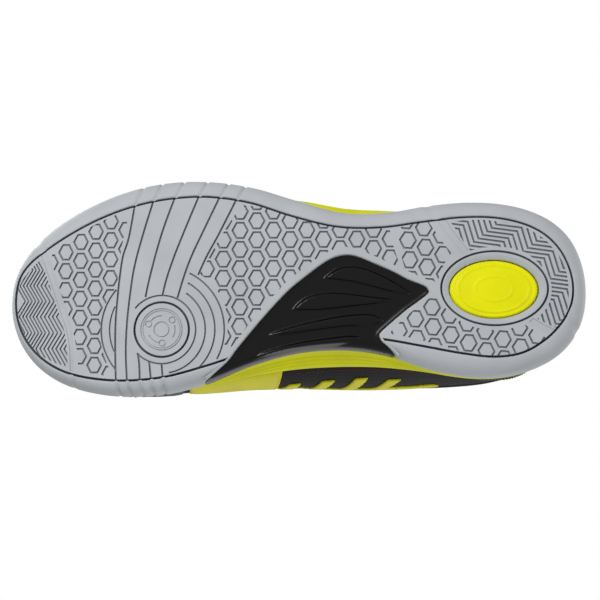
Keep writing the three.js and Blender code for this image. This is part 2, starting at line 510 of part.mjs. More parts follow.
put("collar_lining", biggest(skin(-PAD_IN - GAP, -PAD_IN - 1.1).subtract(collarCut(0.4)).intersect(padRegion)), liningGrey);

// Lasting board and removable insole.
const planar = (d, h) => ({ ...featherRow(d), z: (x, y) => featherZ(y) + h });
put("strobel_board", stacked([planar(-4.9, 0.0), planar(-4.9, BOARD)], 3), boardWhite);
put("insole_foam", stacked([planar(-8.0, BOARD + 0.3), planar(-7.4, BOARD + 0.3 + INSOLE_FOAM)], 3), foamYellow);
put("insole_cloth", stacked([planar(-7.4, BOARD + 0.6 + INSOLE_FOAM), planar(-7.8, BOARD + 0.6 + INSOLE_FOAM + INSOLE_CLOTH)], 3), liningGrey);

// Tongue: a padded plate under the lacing, with a free top end above the flex line.
const FLEX_Y = 19;
const tonguePlan = prism([[-16, -56], [14, -56], [24, -36], [29, -6], [29.5, 20], [28, 32], [22, 38], [-22, 38], [-28, 32], [-30, 20], [-30, -6], [-25.5, -36]], 30, 260);
const tongueStock = skin(TONGUE_OUT, TONGUE_IN).intersect(tonguePlan).intersect(sidePrism([[-70, 50], [-36, 58], [0, 72], [24, 84], [50, 92], [50, 260], [-70, 260]], -90, 90));
const below = (y) => {
  const z = ridgeZ(y), sl = 0.53; // cut square to the instep slope
  return sidePrism([[-220, -60], [y + (z + 60) * sl, -60], [y - (260 - z) * sl, 260], [-220, 260]], -90, 90);
};
put("tongue", biggest(tongueStock.intersect(below(FLEX_Y - 1.0))), meshBlack);
put("tongue_top", biggest(tongueStock.subtract(below(FLEX_Y + 0.9))), meshBlack);

// ================================================================ LACING
eyelets.forEach((e) => {
  const r = rod(e.p, e.n, EYELET_RING_R, SKIN + GAP + 0.25, SKIN + GAP + 1.2, 10).subtract(rod(e.p, e.n, EYELET_HOLE_R, 0, 6, 8));
  put("eyelet_" + (e.s > 0 ? "lateral_" : "medial_") + (e.i + 1), r, filmBlack);
});
const hole = (s, i, off) => {
  const e = eyelets[(s > 0 ? 0 : EYELET_Y.length) + i];
  return [0, 1, 2].map((k) => e.p[k] + e.n[k] * off);
};
// One strand climbs from side s; the other mirrors it at a different height where they cross.
function strand(s) {
  const pts = [], n = EYELET_Y.length;
  let side = s;
  for (let i = 0; i < n; i++) {
    const y = EYELET_Y[i];
    pts.push(hole(side, i, LACE_UNDER + 0.2), hole(side, i, 0.6), hole(side, i, LACE_OVER - 0.3));
    if (i === n - 1) break;
    const y2 = EYELET_Y[i + 1], x1 = eyeletX(y, side), x2 = eyeletX(y2, -side);
    const at = (f, off) => onTop(lerp(x1, x2, f), lerp(y, y2, f), off).p;
    const mid = s > 0 ? 0.1 : -3.1;
    pts.push(at(0.07, LACE_OVER), at(0.15, LACE_OVER - 0.4), at(0.28, lerp(LACE_OVER, mid, 0.55)), at(0.5, mid), at(0.76, LACE_UNDER), at(0.9, LACE_UNDER));
    side = -side;
  }
  return { pts, side };
}
const sA = strand(1), sB = strand(-1);
const lastY = EYELET_Y[EYELET_Y.length - 1];
const KNOT = onTop(-0.6, 12.6, 4.8);
const leadIn = (side) => [onTop(side * 19.5, 11.2, 4.6).p, onTop(side * 15, 12.0, 4.4).p, onTop(side * 9, 12.6, 4.8).p, onTop(side * 4.4 - 0.6, 12.6, 4.8).p];
const bar = [0.12, 0.3, 0.5, 0.7, 0.88].map((f) => onTop(lerp(eyeletX(EYELET_Y[0], 1), eyeletX(EYELET_Y[0], -1), f), EYELET_Y[0] - (f > 0.2 && f < 0.8 ? 0.6 : 0), LACE_UNDER).p);
const lacePath = [...leadIn(sA.side).reverse(), ...sA.pts.reverse(), ...bar, ...sB.pts, ...leadIn(sB.side)];
put("lace", tube(lacePath, LACE_R, 220, 5), laceYellow);

// Knot and bow.
const knot = (() => {
  const g = new THREE.SphereGeometry(1, 12, 8);
  g.scale(3.1, 4.2, 3.0);
  g.translate(...KNOT.p);
  return solid(g);
})();
const loopAt = (s, x, y, off) => onTop(s * x - 0.6, y, off).p;
function bowLoop(s) {
  return tube([
    loopAt(s, 4.6, 10.4, 8.4), loopAt(s, 11, 11.5, 9.6), loopAt(s, 18, 13.5, 8.4), loopAt(s, 23.5, 15.5, 7.0), loopAt(s, 26.5, 14.5, 6.6),
    loopAt(s, 27.6, 9, 6.4), loopAt(s, 26.4, 4.2, 6.6), loopAt(s, 21.5, 2.4, 7.6), loopAt(s, 15, 4.4, 8.8), loopAt(s, 9, 7.0, 9.4), loopAt(s, 4.8, 9.2, 8.6),
  ], LACE_R, 34, 6, true);
}
function laceEnd(s) {
  return [
    loopAt(s, 4.6, 6.0, 7.2), loopAt(s, 8.5, 0.8, 7.8), loopAt(s, 13, -7, 7.6), loopAt(s, 17, -16, 8.0), loopAt(s, 20, -26, 8.6),
  ];
}
put("lace_knot", knot, laceYellow);
put("bow_loop_lateral", bowLoop(1), laceYellow);
put("bow_loop_medial", bowLoop(-1), laceYellow);
for (const [s, nm] of [[1, "lateral"], [-1, "medial"]]) {
  const p = laceEnd(s), a = p[p.length - 2], b = p[p.length - 1];
  put("lace_end_" + nm, tube(p, LACE_R, 12, 6), laceYellow);
  const d = new THREE.Vector3(b[0] - a[0], b[1] - a[1], b[2] - a[2]).normalize();
  const n = [d.x, d.y, d.z];
  put("aglet_" + nm, rod(b, n, LACE_R + 0.1, 0.3, 16, 8), filmBlack);
}

export default shoe;
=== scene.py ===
import math

import bpy
import numpy as np
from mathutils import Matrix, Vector, geometry
from mathutils.bvhtree import BVHTree

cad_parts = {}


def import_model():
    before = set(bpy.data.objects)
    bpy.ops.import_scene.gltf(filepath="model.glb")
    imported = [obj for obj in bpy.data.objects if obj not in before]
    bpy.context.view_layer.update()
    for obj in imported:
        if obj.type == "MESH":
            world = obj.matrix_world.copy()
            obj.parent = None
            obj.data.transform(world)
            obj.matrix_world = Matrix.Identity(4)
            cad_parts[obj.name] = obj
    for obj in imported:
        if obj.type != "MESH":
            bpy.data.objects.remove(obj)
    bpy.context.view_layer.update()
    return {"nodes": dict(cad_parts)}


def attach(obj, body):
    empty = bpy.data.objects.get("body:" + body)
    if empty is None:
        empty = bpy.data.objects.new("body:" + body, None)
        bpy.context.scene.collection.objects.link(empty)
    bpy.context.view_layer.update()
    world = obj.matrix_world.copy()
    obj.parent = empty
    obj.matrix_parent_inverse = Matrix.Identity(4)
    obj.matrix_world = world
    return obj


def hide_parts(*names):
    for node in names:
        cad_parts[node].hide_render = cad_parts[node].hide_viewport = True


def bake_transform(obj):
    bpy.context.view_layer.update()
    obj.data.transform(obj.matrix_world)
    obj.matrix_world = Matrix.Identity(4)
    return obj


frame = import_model()

# ------------------------------------------------------------------ frame of the pattern (mm)
ORX, ORY = 2.284, -1.6      # the part's origin in the pattern's own coordinates
TILT = math.radians(11.0)    # view tilt used when the tread drawing is laid out
K = 0.51557                  # mm per drawing unit


def to_m(a):
    a = np.asarray(a, float).reshape(-1, 3)
    return (a - np.array([ORX, ORY, 0.0])) / 1000.0


def lin(r, g, b):
    def f(c):
        c = c / 255.0
        return c / 12.92 if c <= 0.04045 else ((c + 0.055) / 1.055) ** 2.4
    return (f(r), f(g), f(b), 1.0)


# ------------------------------------------------------------------ materials
def mat(name, rgb, rough=0.5, var=0.06, scale=60.0, bump=0.0, bump_scale=900.0, kind="noise",
        coat=0.0, spec=0.5, sheen=0.0, rough_var=0.08, dark=None, stretch=(1, 1, 1), sss=0.0):
    m = bpy.data.materials.new(name)
    m.use_nodes = True
    nt = m.node_tree
    nt.nodes.clear()
    N, L = nt.nodes.new, nt.links.new
    out = N("ShaderNodeOutputMaterial")
    bs = N("ShaderNodeBsdfPrincipled")
    L(bs.outputs[0], out.inputs[0])
    tc = N("ShaderNodeTexCoord")
    mp = N("ShaderNodeMapping")
    mp.inputs["Scale"].default_value = stretch
    L(tc.outputs["Object"], mp.inputs[0])
    n1 = N("ShaderNodeTexNoise")
    n1.inputs["Scale"].default_value = scale
    n1.inputs["Detail"].default_value = 4.0
    L(mp.outputs[0], n1.inputs["Vector"])
    mix = N("ShaderNodeMix")
    mix.data_type = "RGBA"
    base = lin(*rgb)
    d = lin(*dark) if dark else tuple(c * (1 - 2.2 * var) for c in base[:3]) + (1,)
    hi = tuple(min(1.0, c * (1 + var)) for c in base[:3]) + (1,)
    mix.inputs[6].default_value = d
    mix.inputs[7].default_value = hi
    ramp = N("ShaderNodeMapRange")
    ramp.inputs["From Min"].default_value = 0.3
    ramp.inputs["From Max"].default_value = 0.62
    L(n1.outputs[0], ramp.inputs["Value"])
    L(ramp.outputs[0], mix.inputs[0])
    L(mix.outputs[2], bs.inputs["Base Color"])
    rr = N("ShaderNodeMapRange")
    rr.inputs["To Min"].default_value = max(0.02, rough - rough_var)
    rr.inputs["To Max"].default_value = min(1.0, rough + rough_var)
    L(n1.outputs[0], rr.inputs["Value"])
    L(rr.outputs[0], bs.inputs["Roughness"])
    bs.inputs["Specular IOR Level"].default_value = spec
    bs.inputs["Coat Weight"].default_value = coat
    bs.inputs["Coat Roughness"].default_value = 0.08
    bs.inputs["Sheen Weight"].default_value = sheen
    if bump > 0:
        bp = N("ShaderNodeBump")
        bp.inputs["Strength"].default_value = bump
        bp.inputs["Distance"].default_value = 0.0004
        if kind == "noise":
            t = N("ShaderNodeTexNoise")
            t.inputs["Scale"].default_value = bump_scale
            t.inputs["Detail"].default_value = 3.0
            h = t.outputs[0]
            L(tc.outputs["Object"], t.inputs["Vector"])
        elif kind == "mesh":
            t = N("ShaderNodeTexVoronoi")
            t.inputs["Scale"].default_value = bump_scale
            t.inputs["Randomness"].default_value = 0.15
            L(tc.outputs["Object"], t.inputs["Vector"])
            h = t.outputs["Distance"]
            # cells also darken the cloth between its threads: painted shade in the sunken cell centres that the bump
            # lowers, and painted light on the raised threads
            m2 = N("ShaderNodeMix")
            m2.data_type = "RGBA"
            m2.blend_type = "MULTIPLY"
            m2.inputs[0].default_value = 0.75
            weave_painted_shade = N("ShaderNodeMapRange")
            weave_painted_shade.inputs["From Min"].default_value = 0.0
            weave_painted_shade.inputs["From Max"].default_value = 0.55
            weave_painted_shade.inputs["To Min"].default_value = 0.35
            weave_painted_shade.inputs["To Max"].default_value = 1.25
            L(h, weave_painted_shade.inputs["Value"])
            L(mix.outputs[2], m2.inputs[6])
            L(weave_painted_shade.outputs[0], m2.inputs[7])
            L(m2.outputs[2], bs.inputs["Base Color"])
        else:
            t = N("ShaderNodeTexWave")
            t.inputs["Scale"].default_value = bump_scale
            t.inputs["Distortion"].default_value = 1.5
            t.inputs["Detail"].default_value = 2.0
            L(tc.outputs["Object"], t.inputs["Vector"])
            h = t.outputs["Fac"]
        L(h, bp.inputs["Height"])
        L(bp.outputs[0], bs.inputs["Normal"])
    if sss > 0:
        bs.inputs["Subsurface Weight"].default_value = sss
        bs.inputs["Subsurface Radius"].default_value = (0.004, 0.004, 0.001)
        bs.inputs["Subsurface Scale"].default_value = 0.3
    return m


MT = {
    "rubber": mat("outsole_rubber", (183, 187, 191), 0.6, 0.03, 45, 0.02, 1500, spec=0.3),
    # the next two rubbers are painted shade: darker copies of the outsole rubber that groove floors take by depth, the
    # deeper the darker
    "rubber_groove_painted_shade": mat("tread_groove_painted_shade", (126, 131, 135), 0.6, 0.05, 60, 0.05, 1500, spec=0.25),
    "rubber_deep_groove_painted_shade": mat("tread_deep_groove_painted_shade", (84, 88, 92), 0.65, 0.05, 60, 0.05, 1500, spec=0.2),
    "gloss": mat("shank_gloss", (7, 7, 8), 0.2, 0.05, 40, 0.0, 500, coat=0.2, spec=0.22, rough_var=0.03),
    "gel": mat("heel_gel", (237, 235, 0), 0.42, 0.03, 50, 0.03, 700, spec=0.16),
    "foam": mat("midsole_foam", (220, 222, 0), 0.6, 0.04, 60, 0.10, 1400, spec=0.15),
    "mesh": mat("upper_mesh", (29, 28, 31), 0.88, 0.10, 220, 0.9, 900, "mesh", sheen=0.03, spec=0.2),
    "film": mat("overlay_black", (20, 19, 22), 0.45, 0.06, 90, 0.12, 1800, coat=0.04, spec=0.3),
    "film_y": mat("overlay_yellow", (216, 210, 2), 0.5, 0.04, 90, 0.12, 1800, spec=0.18),
    "lining": mat("lining_knit", (46, 47, 51), 0.92, 0.10, 260, 0.7, 1500, "mesh", sheen=0.1, spec=0.2),
    "collar": mat("collar_cloth", (30, 30, 33), 0.9, 0.10, 240, 0.6, 1300, "mesh", sheen=0.08, spec=0.2),
    "insole": mat("insole_cloth", (46, 47, 50), 0.93, 0.10, 260, 0.6, 1800, "wave", sheen=0.3),
    "insole_foam": mat("insole_foam", (214, 214, 40), 0.8, 0.08, 300, 0.4, 1800),
    "board": mat("board_fibre", (216, 212, 200), 0.9, 0.08, 260, 0.4, 1500),
    "lace": mat("lace_weave", (241, 234, 34), 0.85, 0.08, 260, 0.9, 1500, "wave", sheen=0.1, spec=0.2),
    "aglet": mat("aglet_film", (18, 18, 18), 0.25, 0.05, 90, 0.05, 900, coat=0.4),
    "eyelet": mat("eyelet_ring", (20, 20, 22), 0.32, 0.05, 90, 0.05, 900, coat=0.3),
    "thread": mat("thread_black", (34, 34, 37), 0.8, 0.1, 300, 0.3, 2500),
    "thread_y": mat("thread_yellow", (232, 214, 60), 0.8, 0.1, 300, 0.3, 2500),
    "thread_r": mat("thread_red", (98, 26, 38), 0.8, 0.1, 300, 0.3, 2500),
}


# ------------------------------------------------------------------ pattern curves
def curve(table):
    t = np.array(table, float)
    xs, ys = t[:, 0], t[:, 1]
    h = np.diff(xs)
    d = np.diff(ys) / h
    m = np.empty_like(ys)
    m[0], m[-1] = d[0], d[-1]
    m[1:-1] = (d[:-1] * h[1:] + d[1:] * h[:-1]) / (h[:-1] + h[1:])

    def f(x):
        x = np.clip(np.asarray(x, float), xs[0], xs[-1])
        i = np.clip(np.searchsorted(xs, x, side="right") - 1, 0, len(xs) - 2)
        s = (x - xs[i]) / h[i]
        s2, s3 = s * s, s * s * s
        return ((2 * s3 - 3 * s2 + 1) * ys[i] + (s3 - 2 * s2 + s) * h[i] * m[i]
                + (-2 * s3 + 3 * s2) * ys[i + 1] + (s3 - s2) * h[i] * m[i + 1])
    return f


def by_angle(v):
    return curve([[i * math.pi / (len(v) - 1), y] for i, y in enumerate(v)])


def spring(y):
    y = np.asarray(y, float)
    return 0.0026 * np.maximum(0, -70 - y) ** 2 + 0.0035 * np.maximum(0, y - 112) ** 2


OUT = {
    "widest": (-151.4, 148.2,
               by_angle([-3, 9.9, 21, 30.8, 39.6, 47.5, 54.1, 58.3, 59.0, 55.8, 48.8, 42.6, 42.6, 46.2, 48.0, 47.1, 43.4, 37.2, 28.1, 15.6, 1.4]),
               by_angle([-3, -15.6, -27.8, -38.4, -46.6, -51.8, -54.2, -53.2, -47.6, -38.6, -32.3, -30.6, -33.2, -40.2, -44.2, -44.0, -40.0, -33.4, -24.0, -12.4, 1.4])),
    "tread": (-149.2, 141.4,
              by_angle([-3, 8.6, 16.6, 23.4, 30.7, 38.1, 44.4, 48.7, 50.0, 46.9, 39.6, 34.2, 33.8, 36.6, 39.0, 39.1, 36.3, 30.9, 22.6, 12.0, 1.1]),
              by_angle([-3, -15.0, -26.0, -35.4, -42.4, -46.3, -47.7, -45.9, -40.2, -33.0, -27.4, -25.0, -26.2, -29.8, -33.4, -35.4, -33.4, -26.7, -18.0, -8.8, 1.1])),
    "feather": (-142, 139,
                by_angle([-3, 9, 19.5, 28.5, 37, 44, 50, 53.5, 54, 51.2, 46.6, 43, 41.4, 41.2, 40.4, 38.4, 35.0, 29.8, 22.5, 12.5, 1.4]),
                by_angle([-3, -14, -26, -36, -43.5, -48, -49.5, -48.2, -44.5, -39.8, -36.2, -34.6, -34.6, -36.3, -37.4, -36.9, -34, -28.5, -20.5, -10, 1.4])),
}
feather_z = curve([[-141, 29], [-120, 24.2], [-90, 20], [-60, 18.6], [-20, 20], [20, 23.5], [60, 26.5], [100, 28.5], [139, 31]])


def loop(name, th):
    """Closed outline at the given station angles: lateral toe to heel, then medial back. Returns points and plan normals."""
    y0, y1, la, me = OUT[name]
    y = (y0 + y1) / 2 - (y1 - y0) / 2 * np.cos(th)
    lat = np.stack([la(th), y], 1)
    med = np.stack([me(th), y], 1)
    p = np.vstack([lat, med[1:-1][::-1]])
    t = np.roll(p, -1, 0) - np.roll(p, 1, 0)
    t /= np.linalg.norm(t, axis=1)[:, None]
    n = np.stack([t[:, 1], -t[:, 0]], 1)
    return p, n


# ------------------------------------------------------------------ mesh building
def obj(name, verts, faces, material, body="shoe", smooth=True, fix=True, flat=None, mats=None, mat_idx=None):
    me = bpy.data.meshes.new(name)
    me.from_pydata([tuple(v) for v in to_m(verts)], [], [tuple(int(i) for i in f) for f in faces])
    sm = np.ones(len(me.polygons), bool) if smooth else np.zeros(len(me.polygons), bool)
    if flat is not None:
        sm[np.asarray(flat, bool)] = False
    me.polygons.foreach_set("use_smooth", sm)
    me.materials.append(material)
    for x in (mats or []):
        me.materials.append(x)
    if mat_idx is not None:
        me.polygons.foreach_set("material_index", np.asarray(mat_idx, np.int32))
    me.update()
    o = bpy.data.objects.new(name, me)
    bpy.context.scene.collection.objects.link(o)
    if fix:
        import bmesh
        bm = bmesh.new()
        bm.from_mesh(me)
        bmesh.ops.remove_doubles(bm, verts=bm.verts, dist=1e-7)
        bmesh.ops.recalc_face_normals(bm, faces=bm.faces)
        bm.to_mesh(me)
        bm.free()
    if body:
        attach(o, body)
    return o


def grid_faces(n, m, wrap_n=False, wrap_m=False, off=0):
    f = []
    for i in range(n if wrap_n else n - 1):
        for j in range(m if wrap_m else m - 1):
            a = i * m + j
            b = i * m + (j + 1) % m
            c = ((i + 1) % n) * m + (j + 1) % m
            d = ((i + 1) % n) * m + j
            f.append((a + off, b + off, c + off, d + off))
    return f


def poly_sd(poly, p):
    """Signed distance to a closed polygon, positive inside."""
    poly = np.asarray(poly, float)
    a, b = poly, np.roll(poly, -1, 0)
    best = np.full(len(p), 1e18)
    ins = np.zeros(len(p), bool)
    for (ax, ay), (bx, by) in zip(a, b):
        ex, ey = bx - ax, by - ay
        l2 = ex * ex + ey * ey
        if l2 < 1e-12:
            continue
        t = np.clip(((p[:, 0] - ax) * ex + (p[:, 1] - ay) * ey) / l2, 0, 1)
        dx, dy = p[:, 0] - ax - t * ex, p[:, 1] - ay - t * ey
        best = np.minimum(best, dx * dx + dy * dy)
        if abs(ey) > 1e-12:
            c = (ay > p[:, 1]) != (by > p[:, 1])
            ins ^= c & (p[:, 0] < ex * (p[:, 1] - ay) / ey + ax)
    return np.where(ins, 1, -1) * np.sqrt(best)


def inside(poly, p):
    poly = np.asarray(poly, float)
    r = np.zeros(len(p), bool)
    lo, hi = poly.min(0), poly.max(0)
    k = np.where((p[:, 0] > lo[0]) & (p[:, 0] < hi[0]) & (p[:, 1] > lo[1]) & (p[:, 1] < hi[1]))[0]
    if len(k) == 0:
        return r
    q = p[k]
    c = np.zeros(len(k), bool)
    for (ax, ay), (bx, by) in zip(poly, np.roll(poly, -1, 0)):
        if ay == by:
            continue
        s = (ay > q[:, 1]) != (by > q[:, 1])
        c ^= s & (q[:, 0] < (bx - ax) * (q[:, 1] - ay) / (by - ay) + ax)
    r[k] = c
    return r


def P(px, py):
    """Tread drawing units to pattern x, y."""
    y = (px - 301.0) * K
    v = -(py - 290.0) * K
    return ((v + float(spring(y)) * math.sin(TILT)) / math.cos(TILT), y)


def PP(*pts):
    return [P(*p) for p in pts]


def smooth_line(pts, n=10):
    """Catmull-Rom through plan points."""
    p = np.array(pts, float)
    out = []
    for i in range(len(p) - 1):
        p0, p1, p2, p3 = p[max(0, i - 1)], p[i], p[i + 1], p[min(len(p) - 1, i + 2)]
        for k in range(n):
            t = k / n
            out.append(0.5 * ((2 * p1) + (-p0 + p2) * t + (2 * p0 - 5 * p1 + 4 * p2 - p3) * t * t + (-p0 + 3 * p1 - 3 * p2 + p3) * t ** 3))
    out.append(p[-1])
    return np.array(out)


def ribbon(pts, w, closed=False):
    """Mitred ribbon polygon along a polyline."""
    p = np.array(pts, float)
    L, R = [], []
    for i in range(len(p)):
        a = p[max(0, i - 1)]
        b = p[min(len(p) - 1, i + 1)]
        u = p[i] - a if i > 0 else b - p[i]
        v = b - p[i] if i < len(p) - 1 else p[i] - a
        u, v = u / np.linalg.norm(u), v / np.linalg.norm(v)
        t = (u + v) / np.linalg.norm(u + v)
        n = np.array([-t[1], t[0]])
        c = max(0.45, float(np.dot(n, [-u[1], u[0]])))
        L.append(p[i] + n * w / 2 / c)
        R.append(p[i] - n * w / 2 / c)
    return np.array(L + R[::-1])


# ------------------------------------------------------------------ OUTSOLE
SHANK_WINDOW = np.array([
    [-46.5, -48.5], [-37.6, -38.2], [-30.6, -32.9], [-19.6, -24.0], [-9.2, -15.1], [0.3, -6.2], [7.6, 2.6],
    [14.4, 11.5], [17.5, 17.4], [18.7, 23.4], [17.8, 29.3], [14.1, 38.2], [9.7, 48.0], [5.8, 55.2],
    [2.9, 62.6], [0.9, 65.4], [-2.2, 65.0], [-10.0, 54.7], [-16.2, 47.4], [-22.2, 40.9], [-24.8, 40.6],
    [-27.2, 42.2], [-30.0, 45.6], [-34.5, 50.0], [-60, 66], [-64, -40]])
HEEL_C, HEEL_R = (0.8, 99.6), (15.5, 23.3)


def window_outline(off=0.0):
    """The arch opening with rounded line, from its medial toe end round to its medial heel end."""
    core = smooth_line(SHANK_WINDOW[:24], 5)
    t = np.gradient(core, axis=0)
    t /= np.linalg.norm(t, axis=1)[:, None]
    n = np.stack([t[:, 1], -t[:, 0]], 1)   # away from the opening
    return core + n * off


def window_region(off=0.0, reach=14.0):
    """The opening as a region that runs well out past the medial edge."""
    w = window_outline(off)
    a = w[0] + (w[0] - w[3]) / np.linalg.norm(w[0] - w[3]) * reach
    b = w[-1] + (w[-1] - w[-4]) / np.linalg.norm(w[-1] - w[-4]) * reach
    return np.vstack([[a], w, [b], [[-90, b[1]], [-90, a[1]]]])


def ell(c, r, n=72):
    a = np.linspace(0, 2 * math.pi, n, endpoint=False)
    return np.stack([c[0] + r[0] * np.cos(a), c[1] + r[1] * np.sin(a)], 1)


def hexagon(c, rx, hy, d=0.0, rot=0.0):
    """Six-sided cell, rx to its side corners and hy to its flats, grown by d."""
    e = 0.45 * rx
    ln = math.hypot(hy, rx - e)
    X = rx + d * ln / hy
    E = (hy * rx + d * ln - (rx - e) * (hy + d)) / hy
    H = hy + d
    q = np.array([[X, 0], [E, H], [-E, H], [-X, 0], [-E, -H], [E, -H]])
    cr, sr = math.cos(rot), math.sin(rot)
    return np.stack([c[0] + q[:, 0] * cr - q[:, 1] * sr, c[1] + q[:, 0] * sr + q[:, 1] * cr], 1)


def build_tread():
    th = np.linspace(0, math.pi, 150)
    tp, tn = loop("tread", th)
    edge = tp - tn * 1.25
    win = window_outline(1.0)
    win_poly = window_region(1.0)
    heel_hole = ell(HEEL_C, (HEEL_R[0] + 2.9, HEEL_R[1] + 3.3), 90)

    feats = []     # (outer, holes, zone, depth)
    zones = []

    def zone(pts, sm=False):
        z = np.array(PP(*pts))
        zones.append(z)
        return z

    # drawing space helpers: features are built in drawing units, then laid out
    def lay(poly):
        return np.array([P(*q) for q in poly])

    gw = 1.95       # hexagon line width in drawing units
    def hexes(z, base, dx, dy, ni, nj, rx=7.1, hy=7.35, dep=1.05, rot=0.0, skip=None):
        for i in range(-ni, ni + 1):
            for j in range(-nj, nj + 1):
                c = (base[0] + dx[0] * i + dy[0] * j, base[1] + dx[1] * i + dy[1] * j)
                o = lay(hexagon(c, rx, hy, gw * 0.5, rot))
                if not (inside(z, o).any() or inside(z, np.array([P(*c)])).any()):
                    continue
                if skip is not None and skip(c):
                    continue
                h = lay(hexagon(c, rx, hy, -gw * 0.5, rot))
                # keep only hexagons with a fair share of their line in the zone
                if inside(z, o).sum() < 2:
                    continue
                feats.append((o, [h], z, dep))

    zT = zone([(51, 250.5), (60, 244.2), (75, 234.2), (90, 225.8), (108, 217), (129.5, 208.5), (126, 222), (121.2, 245), (118.6, 262), (116.9, 285),
               (112, 293), (104.5, 305), (100.6, 320), (100.0, 335), (102.3, 350), (107, 362), (112.6, 375), (100, 375.2), (87, 372.8), (78.6, 369.5),
               (77.2, 352), (73.8, 336), (68.6, 318), (61.2, 298), (54.2, 276), (48.4, 259)])
    dxa, dya = (15.25, 8.75), (0, 19.1)
    hexes(zT, (79.4, 260.7), (15.25, -0.8 - 9.55), dya, 6, 12)
    zM = zone([(241, 204.3), (262, 206.8), (285, 212.6), (305, 218.6), (325, 223.2), (345, 226.6), (370, 228.2), (390, 228), (392, 240), (396, 253), (401, 268),
               (392, 263.8), (374, 255.4), (358, 248.6), (346.5, 246.6), (334, 249), (321, 255.4), (302.2, 269), (285, 283.2), (267.2, 302.4), (250, 323),
               (233, 345), (226, 356), (221, 352), (224.6, 345), (227.6, 333), (228.2, 318), (224, 301), (216, 288.5), (206.6, 279), (199.5, 274), (209.4, 256.2), (221.2, 234.8)])
    hexes(zM, (256.6, 239.6), (16.75, -0.15 - 9.6), (0, 19.25), 11, 14, rx=7.75, hy=7.7)
    zH1 = zone([(399, 227), (412, 224.3), (428.5, 220.2), (436.8, 232.4), (446, 245.6), (452, 252.6), (446, 261.5), (440.6, 272), (437.6, 283.4), (432, 280),
                (427, 279.4), (418, 275.4), (405.6, 269.6), (401, 254), (397, 241), (395.6, 228)])
    hexes(zH1, (426, 247.2), (17.55, 7.3), (1.5, 19.8), 4, 5, rx=8.1, hy=7.8, rot=0.06)
    zH2 = zone([(430.5, 297.6), (438.4, 297), (443.6, 306), (451, 314.8), (461.6, 322), (474, 327.2), (488, 330), (501, 329.8), (513, 327.8), (523.4, 323.9),
                (541, 334.6), (546.5, 338.6), (541, 345.2), (528, 350.6), (510, 354.2), (494, 355.2), (478, 354.4), (458, 350.6), (440, 345), (420, 339.8), (402, 335.8),
                (389.2, 333.4), (396, 325.4), (408, 314.6), (420.6, 304.4)])
    hexes(zH2, (433, 326.8), (17.6, 8.0), (1.0, 19.7), 7, 5, rx=8.1, hy=7.8, rot=0.08)
    # toe herringbone
    zA = zone([(15.4, 288), (20, 278.5), (28, 268.8), (37.4, 259.6), (40, 264), (45.8, 280), (52.8, 300), (58.8, 316), (63.6, 331), (66.8, 348), (67.6, 366.8),
               (55, 363.2), (38, 355.2), (22.5, 345.6), (16.5, 335), (13.6, 320), (13.9, 302)])
    for k in range(-8, 8):
        x0 = 43.0 + 4.15 * k if k >= -2 else 34.7 + 3.6 * (k + 2)
        z = []
        for q, yy in enumerate([238.4, 254.1, 269.9, 285.6, 301.3, 316.9, 333.0, 349.0, 365.0, 381.0]):
            z.append((x0 + (9.6 if q % 2 == 0 else 0.0), yy))
        feats.append((lay(ribbon(z, 1.55)), [], zA, 1.1))
    # heel herringbone: one family of stepped lines that sweeps round the heel opening
    zB = zone([(451.5, 221.4), (466, 219.6), (486, 219.4), (510, 222.4), (530, 228.4), (547, 239.8), (559.6, 254.4), (565.4, 265), (567.8, 274), (569.2, 284), (569.4, 294),
               (568.8, 303), (567.2, 312), (564.0, 321), (559.2, 329.0), (549.5, 325), (537.0, 318.8), (541.5, 314), (545.5, 309.5), (548.5, 305), (550.6, 300), (552, 293),
               (552, 284), (550, 277), (543.5, 267.5), (536, 259.5), (527, 252.5), (511, 247.4), (496, 246.4), (482, 247.4), (471, 250.4), (463.4, 240)])
    ga, gb, gd, g0 = np.array([25.4, 3.35]), np.array([6.0, 20.4]), np.array([-4.5, 3.55]), np.array([554.1, 251.1])
    for k in range(-14, 34):
        z = []
        for m in range(-5, 4):
            c = g0 + gd * k + (ga + gb) * m
            z += [c, c + gb]
        feats.append((lay(ribbon(z, 2.0)), [], zB, 1.1))

    # channels, flex grooves, turning disc
    def line(pts, w, dep, n=8, z=None):
        feats.append((lay(ribbon(smooth_line(pts, n), w)), [], z, dep))
    toe_l = smooth_line([(37.6, 253.6), (41, 262), (47.4, 279), (54.4, 299), (60.2, 315), (65.6, 331), (69, 348), (70, 371)], 6)
    toe_r = smooth_line([(43.2, 249.8), (49.5, 264), (56.6, 285), (63.6, 305), (69.4, 323), (72.6, 341), (73.6, 358), (73.6, 372)], 6)
    feats.append((lay(np.vstack([toe_l, toe_r[::-1]])), [], None, 0.55))
    feats.append((lay([(431.5, 203), (436.4, 217.2), (445.6, 231.6), (463.2, 254), (469.4, 250.4), (452.4, 228.2), (444.2, 214.6), (440, 201)]), [], None, 0.5))
    feats.append((lay([(528.6, 321.6), (541, 330), (556, 337), (578, 343.6), (580, 338.6), (558, 331), (544, 324.6), (532.8, 317.8)]), [], None, 0.5))
    G = [
        [(133.9, 203), (128.2, 236.5), (122.4, 255.7), (119.6, 274.8), (117.7, 293.9), (115.7, 322.6), (115.7, 351.3), (116.7, 381)],
        [(153, 198.2), (141.6, 236.5), (133.9, 267), (130, 294), (127.2, 322.6), (126.3, 351.3), (127.8, 381)],
        [(175, 194.3), (164.5, 223), (156.9, 248), (149.2, 278.6), (145.4, 297.2)],
        [(199, 193.4), (183.7, 230.8), (174, 255.7), (166.4, 278.6), (162.6, 294.6)],
        [(220, 194.4), (202.8, 230.8), (191.3, 255.7), (183.7, 276.7), (177.4, 298)],
        [(237.2, 196.3), (218, 234.6), (206.6, 255.7), (198, 274.8)],
        [(138.4, 353.6), (139.9, 364), (140.6, 382)], [(149.6, 361), (150.4, 367), (152, 382)], [(162.2, 364.2), (162.8, 370), (163.6, 380)]]
    for g in G:
        line(g, 2.0, 1.35)
    C = (161.9, 329.4)

